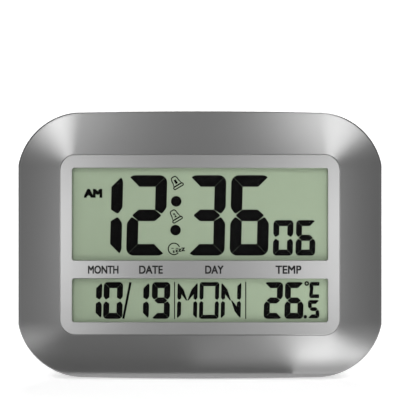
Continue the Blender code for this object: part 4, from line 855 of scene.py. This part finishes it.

# The panel's plastic is a darker copy, painted shade, and the slopes' a paler copy, painted light
# from above.
dark_plastic = moulded("dark_plastic", (0.020, 0.021, 0.023), 0.52)
slope_plastic_painted_light = moulded("slope_plastic_painted_light", (0.034, 0.037, 0.044), 0.44)
cover = softened("rear_cover", "cover_shell", dark_plastic, 0.0, smooth=12)
border = bmesh.new()
skins = [frame_loop(border, 0, COVER_FRONT)]
for step in range(COVER_STEPS + 1):
    share = step / COVER_STEPS
    skins.append(band_loop(border, share, 0, RIM_ROUND, band_depth(share) + BOSS_COVER))
skins.append(case_loop(border, RIM_ROUND, COVER_FRONT))
bridged(border, skins)
shaped(cover, [border])
cover.data.materials.append(slope_plastic_painted_light)
# The panel's faces, and those further back than it, take the darker copy, painted shade; the slopes
# take the paler copy, painted light from above.
for face in cover.data.polygons:
    middle = upright.inverted() @ face.center
    within = abs(middle.x) < PANEL_HALF_WIDTH and abs(middle.z) < PANEL_HALF_HEIGHT
    face.material_index = 0 if within or middle.y > PANEL_DEPTH else 1


# Case screws
# Eight black-zinc pan heads with cross recesses sit in the cover's wells and hold it to the
# bezel. The small board screws are the same kind in bright steel.
HEAD_EDGE = 0.9             # sizes of a screw, as shares of its head's radius
SHANK = 0.46
CROSS_LONG = 1.1
CROSS_WIDE = 0.26
RINGS = 8
RINGED = 0.92               # share of the shank that the rings cover

screw_steel = speckled("screw_steel", (1800, 3.0), shade(0.16), shade(0.34), (0.25, 0.45),
                       metallic=1.0)


def spun(profile, steps=32):
    """A round solid, spun from (radius, along) points about the clock's depth axis."""
    bm = bmesh.new()
    points = [bm.verts.new((radius, along, 0)) for radius, along in profile]
    edges = [bm.edges.new(pair) for pair in zip(points, points[1:])]
    bmesh.ops.spin(bm, geom=points + edges, cent=(0, 0, 0), axis=(0, 1, 0), dvec=(0, 0, 0),
                   angle=2 * math.pi, steps=steps, use_merge=True)
    bmesh.ops.remove_doubles(bm, verts=bm.verts, dist=1e-6)
    return bm


def own_corners(node):
    """The corners of a node's mesh in the clock's own frame."""
    away = upright.inverted()
    return [away @ vertex.co for vertex in frame["nodes"][node].data.vertices]


def screw(node, material):
    """A pan head on a ringed shank, with a cross cut in it, in place of a node."""
    corners = own_corners(node)
    low, high = box_round(corners)
    x = (low.x + high.x) / 2
    z = (low.z + high.z) / 2
    head = (high.x - low.x) / 2
    edge = [corner.y for corner in corners if corner.x > x + HEAD_EDGE * head]
    faces_back = sum(edge) / len(edge) > (low.y + high.y) / 2
    seat = min(edge) if faces_back else max(edge)
    top, end = (high.y, low.y) if faces_back else (low.y, high.y)
    rise = abs(top - seat)
    tip = abs(end - seat)
    shank = head * SHANK
    ringed = (tip - shank) * RINGED
    pitch = ringed / RINGS
    profile = [(0, -tip), (shank * 0.3, -tip), (shank, -tip + shank)]
    for ring in range(RINGS):
        start = -tip + shank + ringed * ring / RINGS
        profile += [(shank * 0.8, start + pitch * 0.3), (shank, start + pitch * 0.8)]
    profile += [(shank, 0), (head, 0), (head, rise * 0.42), (head * 0.94, rise * 0.66),
                (head * 0.78, rise * 0.88), (head * 0.4, rise), (0, rise)]
    bm = spun(profile)
    if not faces_back:
        turned(bm, math.pi, "X")
    piece = finished(node + "_cross", moved(bm, x, seat, z), material, "case", [node])
    front = top - rise * (0.7 if faces_back else 0.5)
    return shaped(piece, [
        slab(head * across, head * up, head * 0.08, rise * 1.2, (x, front, z), 2)
        for across, up in ((CROSS_LONG, CROSS_WIDE), (CROSS_WIDE, CROSS_LONG))])


for number in range(1, 9):
    screw(f"case_screw_{number}", screw_steel)
for number in (1, 2):
    screw(f"board_screw_{number}", steel)
    screw(f"key_board_screw_{number}", steel)


# Batteries
# Two AA cells lie side by side under the door, opposite ways round. Each is a steel can in a
# printed jacket, rolled over at both ends, with a flat base and a small nub.
CELL_RADIUS = 0.0071
CELL_LENGTH = 0.0505
COLLAR = 0.0130             # length of the jacket's copper-coloured end

jacket = speckled("battery_jacket", (300, 3.0), (0.03, 0.12, 0.07, 1.0), (0.05, 0.17, 0.10, 1.0),
                  (0.28, 0.42), metallic=0.25)
collar = speckled("battery_collar", (300, 3.0), (0.50, 0.27, 0.12, 1.0), (0.62, 0.36, 0.17, 1.0),
                  metallic=0.8, roughness=0.3)


def cell(node):
    """A cell on the node's own axis, its nub at the end where the node's narrows."""
    corners = own_corners(node)
    low, high = box_round(corners)
    depth = (low.y + high.y) / 2
    height = (low.z + high.z) / 2
    end = [corner for corner in corners if corner.x > high.x - 1e-5]
    reach = max(math.hypot(corner.y - depth, corner.z - height) for corner in end)
    way = 1 if reach < CELL_RADIUS * 0.6 else -1
    half = CELL_LENGTH / 2
    nub = CELL_RADIUS * 0.38
    radius = CELL_RADIUS
    profile = [
        (0, -half), (radius * 0.80, -half), (radius * 0.84, -half + 0.0004),
        (radius * 0.96, -half + 0.0003), (radius, -half + 0.0009), (radius, -half + 0.0011),
        (radius, half - COLLAR), (radius, half - 0.0126), (radius, half - 0.0023),
        (radius * 0.97, half - 0.0016), (radius * 0.80, half - 0.0015), (nub * 1.1, half - 0.0014),
        (nub, half - 0.0012), (nub, half - 0.0002), (nub * 0.9, half), (0, half),
    ]
    bm = spun(profile, 48)
    for face in bm.faces:
        middle = face.calc_center_median()
        rim = math.hypot(middle.x, middle.z) > radius * 0.9
        face.material_index = (2 if middle.y > half - COLLAR else 1) if rim else 0
    turned(bm, -way * math.pi / 2, "Z")
    moved(bm, (low.x + high.x) / 2, depth, height)
    piece = finished(node + "_cell", bm, steel, "case", [node])
    piece.data.materials.append(jacket)
    piece.data.materials.append(collar)


cell("battery_1")
cell("battery_2")


# Battery contacts
# Plated steel plates line the ends of the bay, with a cone spring at each negative end.
softened("battery_link", "contact_link", steel, 0.00012)
softened("contact_positive", "contact_plate_positive", steel, 0.00012)
softened("contact_negative", "contact_plate_negative", steel, 0.00012)
covered("battery_spring_1", steel)
covered("battery_spring_2", steel)


# Battery door
# A flat plate of the same plastic with a round lower edge that it turns on and a tongue at the
# top.
# The door takes the panel's darker copy of the plastic, painted shade.
softened("battery_door", "door_panel", dark_plastic, 0.0004, 3)


# Keys
# Seven rubber caps stand in a row at the top of the recess, with their functions printed in pale
# grey on the recess floor below them.
RECESS_FLOOR = 0.024
KEY_PITCH = 0.0094
LEGEND_BOTTOM = -0.0182
LEGEND_HEIGHT = 0.0026
LEGEND_WEIGHT = 0.00025
LEGENDS = (                 # each key's word with its width
    ("MODE", 0.0070), ("SET", 0.0056), ("UP", 0.0036), ("DOWN", 0.0072), ("ALARM", 0.0078),
    ("UNIT", 0.0062), ("SNOOZE", 0.0082),
)
MIDDLE_KEY = 3

key_rubber = moulded("key_rubber", (0.125, 0.127, 0.135), 0.6, 1500)
legend_grey = speckled("printed_grey", (1200, 2.0), shade(0.70), shade(0.85), roughness=0.55)
legends = []
for place, (word, width) in enumerate(LEGENDS):
    key = f"key_{word.lower()}"
    softened(key, key + "_cap", key_rubber, 0.00035, 3)
    words = heavy_lettering(word, -width / 2, LEGEND_BOTTOM, width, LEGEND_HEIGHT, 0, INK_THICK,
                            LEGEND_WEIGHT)
    for letters in words:
        turned(letters, math.pi, "Z")
        moved(letters, KEY_PITCH * (place - MIDDLE_KEY), RECESS_FLOOR + 2 * INK_THICK, 0)
    legends += words
finished("key_words", together(*legends), legend_grey, "case")


# Buzzer and temperature sensor
# A brass sounder disc, coloured much darker and rougher than the sensor's brass, rests behind
# the sound slots, and the sensor's bead in a side notch.
brass = speckled("brass", (800, 3.0), (0.52, 0.36, 0.12, 1.0), (0.72, 0.52, 0.21, 1.0),
                 (0.25, 0.4), metallic=1.0)
# Brass coloured much darker than the bead's.
darkened_brass = speckled("darkened_brass", (500, 3.0), (0.055, 0.045, 0.030, 1.0),
                      (0.12, 0.095, 0.055, 1.0), (0.45, 0.65), metallic=1.0)
softened("buzzer", "sounder_disc", darkened_brass, 0.00015)
softened("temperature_sensor", "sensor_bead", brass, 0.0003, 3)


# Stand
# A U of thick moulded plastic with soft edges, cut at its foot to stand flat. It turns on two
# pivots in the cover's pockets, where its heels meet the floors when it is open.
HINGE_DEPTH = 0.0275
HINGE_HEIGHT = 0.032
STAND_OPEN = math.radians(28)
STAND_WIDTH = 0.150
STAND_LENGTH = 0.120
STAND_LEG = 0.015
STAND_BAR = 0.033
STAND_THICK = 0.0044
STAND_CORNER = 0.025
STAND_INNER_CORNER = 0.016
STAND_LEG_TOP = -0.006
STAND_EDGE = 0.0013
KNUCKLE_WIDTH = 0.011
KNUCKLE_BOTTOM = -0.008
KNUCKLE_CORNER = 0.0008
HEEL = 0.006
PIVOT_RADIUS = 0.0015
PIVOT_REACH = 0.0105

hinge = Matrix.Translation((0, HINGE_DEPTH, HINGE_HEIGHT))
stand_place = upright @ hinge @ Matrix.Rotation(STAND_OPEN, 4, "X")


def stand_slab(width, top, bottom, radius, thick=STAND_THICK, x=0.0, segments=18):
    """A rounded slab in the stand's own frame, about its middle plane."""
    return slab(width, top - bottom, radius, thick, (x, -thick / 2, (top + bottom) / 2), segments)


def stand_frame():
    spare = STAND_CORNER + STAND_THICK
    bm = stand_slab(STAND_WIDTH, STAND_LEG_TOP + spare, -STAND_LENGTH - STAND_THICK / 2,
                    STAND_CORNER)
    foot_turn = STAND_OPEN - lean
    cuts = (((0, 0, STAND_LEG_TOP), (0, 0, 1)),
            ((0, 0, -STAND_LENGTH), (0, -math.sin(foot_turn), -math.cos(foot_turn))))
    for place, away in cuts:
        cut = bmesh.ops.bisect_plane(bm, geom=bm.verts[:] + bm.edges[:] + bm.faces[:], dist=1e-7,
                                     plane_co=place, plane_no=away, clear_outer=True)
        edges = [item for item in cut["geom_cut"] if isinstance(item, bmesh.types.BMEdge)]
        bmesh.ops.edgeloop_fill(bm, edges=edges)
    piece = finished("stand_frame", bm, stand_plastic, "stand", ["stand"],
                     place=stand_place)
    inside = stand_slab(STAND_WIDTH - 2 * STAND_LEG, STAND_LENGTH, STAND_BAR - STAND_LENGTH,
                        STAND_INNER_CORNER, 3 * STAND_THICK)
    shaped(piece, [inside], round_edges=STAND_EDGE, place=stand_place)
    joins = []
    for side in (-1, 1):
        middle = side * (STAND_WIDTH - STAND_LEG) / 2
        joins.append(stand_slab(KNUCKLE_WIDTH, HEEL, KNUCKLE_BOTTOM, KNUCKLE_CORNER, x=middle,
                                segments=3))
        pin = spun([(0, -PIVOT_REACH), (PIVOT_RADIUS, -PIVOT_REACH), (PIVOT_RADIUS, PIVOT_REACH),
                    (0, PIVOT_REACH)])
        turned(pin, math.pi / 2, "Z")
        joins.append(moved(pin, middle, 0, 0))
    return shaped(piece, joins, "UNION", place=stand_place)


stand_plastic = moulded("stand_plastic", (0.040, 0.044, 0.053), 0.46)
stand_frame()


# Floor
# A plain pale floor. It shines a little for the camera, so that it reads white, and in
# reflections, but lights nothing, so the clock's shadow stays on it.
FLOOR_GLOW = 0.55
FLOOR_RADIUS = 20

floor_bm = bmesh.new()
bmesh.ops.create_circle(floor_bm, cap_ends=True, segments=96, radius=FLOOR_RADIUS)
floor_mesh = mesh_from(floor_bm, "floor")
floor_finish = Finish("pale_floor", roughness=0.9, specular_ior_level=0.0)
floor_finish.set("Base Color", shade(0.86))
seen = [floor_finish.node("ShaderNodeLightPath", output=f"Is {ray} Ray")
        for ray in ("Camera", "Glossy", "Transmission")]
glow = floor_finish.node("ShaderNodeEmission", {}, {
    "Color": shade(1.0), "Strength": (seen[0] + seen[1] + seen[2]) * FLOOR_GLOW})
plain = Wire(floor_finish, floor_finish.shader.outputs[0])
both = floor_finish.node("ShaderNodeAddShader", {}, {0: plain, 1: glow})
floor_finish.join(floor_finish.tree.nodes["Material Output"].inputs["Surface"], both)
floor_mesh.materials.append(floor_finish.material)
floor = linked("floor", floor_mesh)


# Lamps and surroundings
# Small soft boxes stand round the clock, and glowing panels lie before it for its lower edge, in
# a grey studio that is paler at its horizon. A grey card lies in front of the clock and shows
# only in its reflections, as a photographer's flag does.
LAMPS = (                   # name, place in the clock's own frame, size, power
    ("left_box", (-0.18, -0.45, 0.0), 0.18, 0.26),
    ("top_left_box", (-0.245, -0.45, 0.30), 0.20, 0.27),
    ("high_left_box", (-0.24, -0.45, 0.43), 0.20, 0.42),
    ("right_box", (0.18, -0.45, 0.0), 0.18, 0.22),
    ("middle_box", (0.09, -0.45, 0.0), 0.18, 0.04),
    ("near_right_box", (0.15, -0.22, 0.21), 0.14, 0.20),
    ("rear_box", (0.2, 0.7, 1.9), 1.0, 24),
)
FLOOR_LAMPS = (             # the same, with the place above the floor
    ("floor_right_panel", (0.135, -0.14, 0.006), 0.13, 0.12),
    ("floor_near_panel", (0.112, -0.085, 0.005), 0.09, 0.020),
    ("floor_front_panel", (0.11, -0.26, 0.006), 0.12, 0.12),
    ("floor_middle_panel", (0.05, -0.13, 0.0045), 0.11, 0.018),
    ("floor_left_panel", (-0.30, -0.26, 0.006), 0.12, 0.45),
)
STUDIO_GREY = 0.20
HORIZON_PALE = 0.7
HORIZON_START = 0.03        # upward part of the way of sight where the pale horizon starts to fade
HORIZON_END = 0.08
FLAG_SIZE = (5.0, 3.0)
FLAG_MIDDLE = (0, -1.545, 0.004)


def lamp_box(name, place, size, power, aim):
    """A square soft box that the camera does not see."""
    lamp = bpy.data.lights.new(name, "AREA")
    lamp.shape = "SQUARE"
    lamp.size = size
    lamp.energy = power
    box = linked(name, lamp)
    box.location = place
    box.rotation_mode = "QUATERNION"
    box.rotation_quaternion = aim.to_track_quat("-Z", "Y")
    box.visible_camera = False


for name, place, size, power in LAMPS:
    place = upright @ Vector(place)
    lamp_box(name, place, size, power, upright.translation - place)
for name, place, size, power in FLOOR_LAMPS:
    lamp_box(name, Vector(place), size, power, Vector((0, 0, 1)))

world = bpy.data.worlds.new("grey_studio")
world.use_nodes = True
bpy.context.scene.world = world
room = world.node_tree
way = room.nodes.new("ShaderNodeTexCoord")
split = room.nodes.new("ShaderNodeSeparateXYZ")
height = room.nodes.new("ShaderNodeMapRange")
height.inputs["From Min"].default_value = HORIZON_START
height.inputs["From Max"].default_value = HORIZON_END
height.inputs["To Min"].default_value = HORIZON_PALE
height.inputs["To Max"].default_value = STUDIO_GREY
room.nodes["Background"].inputs["Color"].default_value = (1, 1, 1, 1)
room.links.new(way.outputs["Generated"], split.inputs[0])
room.links.new(split.outputs["Z"], height.inputs["Value"])
room.links.new(height.outputs[0], room.nodes["Background"].inputs["Strength"])

flag_bm = bmesh.new()
bmesh.ops.create_grid(flag_bm, x_segments=1, y_segments=1, size=0.5)
bmesh.ops.scale(flag_bm, vec=(*FLAG_SIZE, 1), verts=flag_bm.verts)
flag_mesh = mesh_from(moved(flag_bm, *FLAG_MIDDLE), "flag")
flag_mesh.materials.append(moulded("grey_card", (0.39, 0.39, 0.39), 0.9))
flag = linked("flag", flag_mesh)
flag.visible_camera = False
flag.visible_diffuse = False
flag.visible_shadow = False
flag.visible_transmission = False


# Camera
# Square to the clock's face, as in the photograph, and far enough away that the rim hides the
# sides. The case's width spans this many of the photograph's 400 pixels, and its middle lies this
# far below.
CASE_PIXELS = 363.3
IMAGE_PIXELS = 400
MIDDLE_BELOW_PIXELS = 44.6
CAMERA_AWAY = 2.0
RIM_DEPTH = 0.0093          # how far behind the face the case is widest
pixel = CASE_WIDTH / CASE_PIXELS
lens = bpy.data.cameras.new("camera")
lens.sensor_width = 36
lens.lens = lens.sensor_width * (CAMERA_AWAY + RIM_DEPTH) / (IMAGE_PIXELS * pixel)
lens.clip_end = 60
camera = linked("camera", lens)
away = Matrix.Translation((0, -CAMERA_AWAY, MIDDLE_BELOW_PIXELS * pixel))
camera.matrix_world = upright @ away @ Matrix.Rotation(math.pi / 2, 4, "X")
bpy.context.scene.camera = camera
bpy.context.scene.view_settings.view_transform = "Standard"
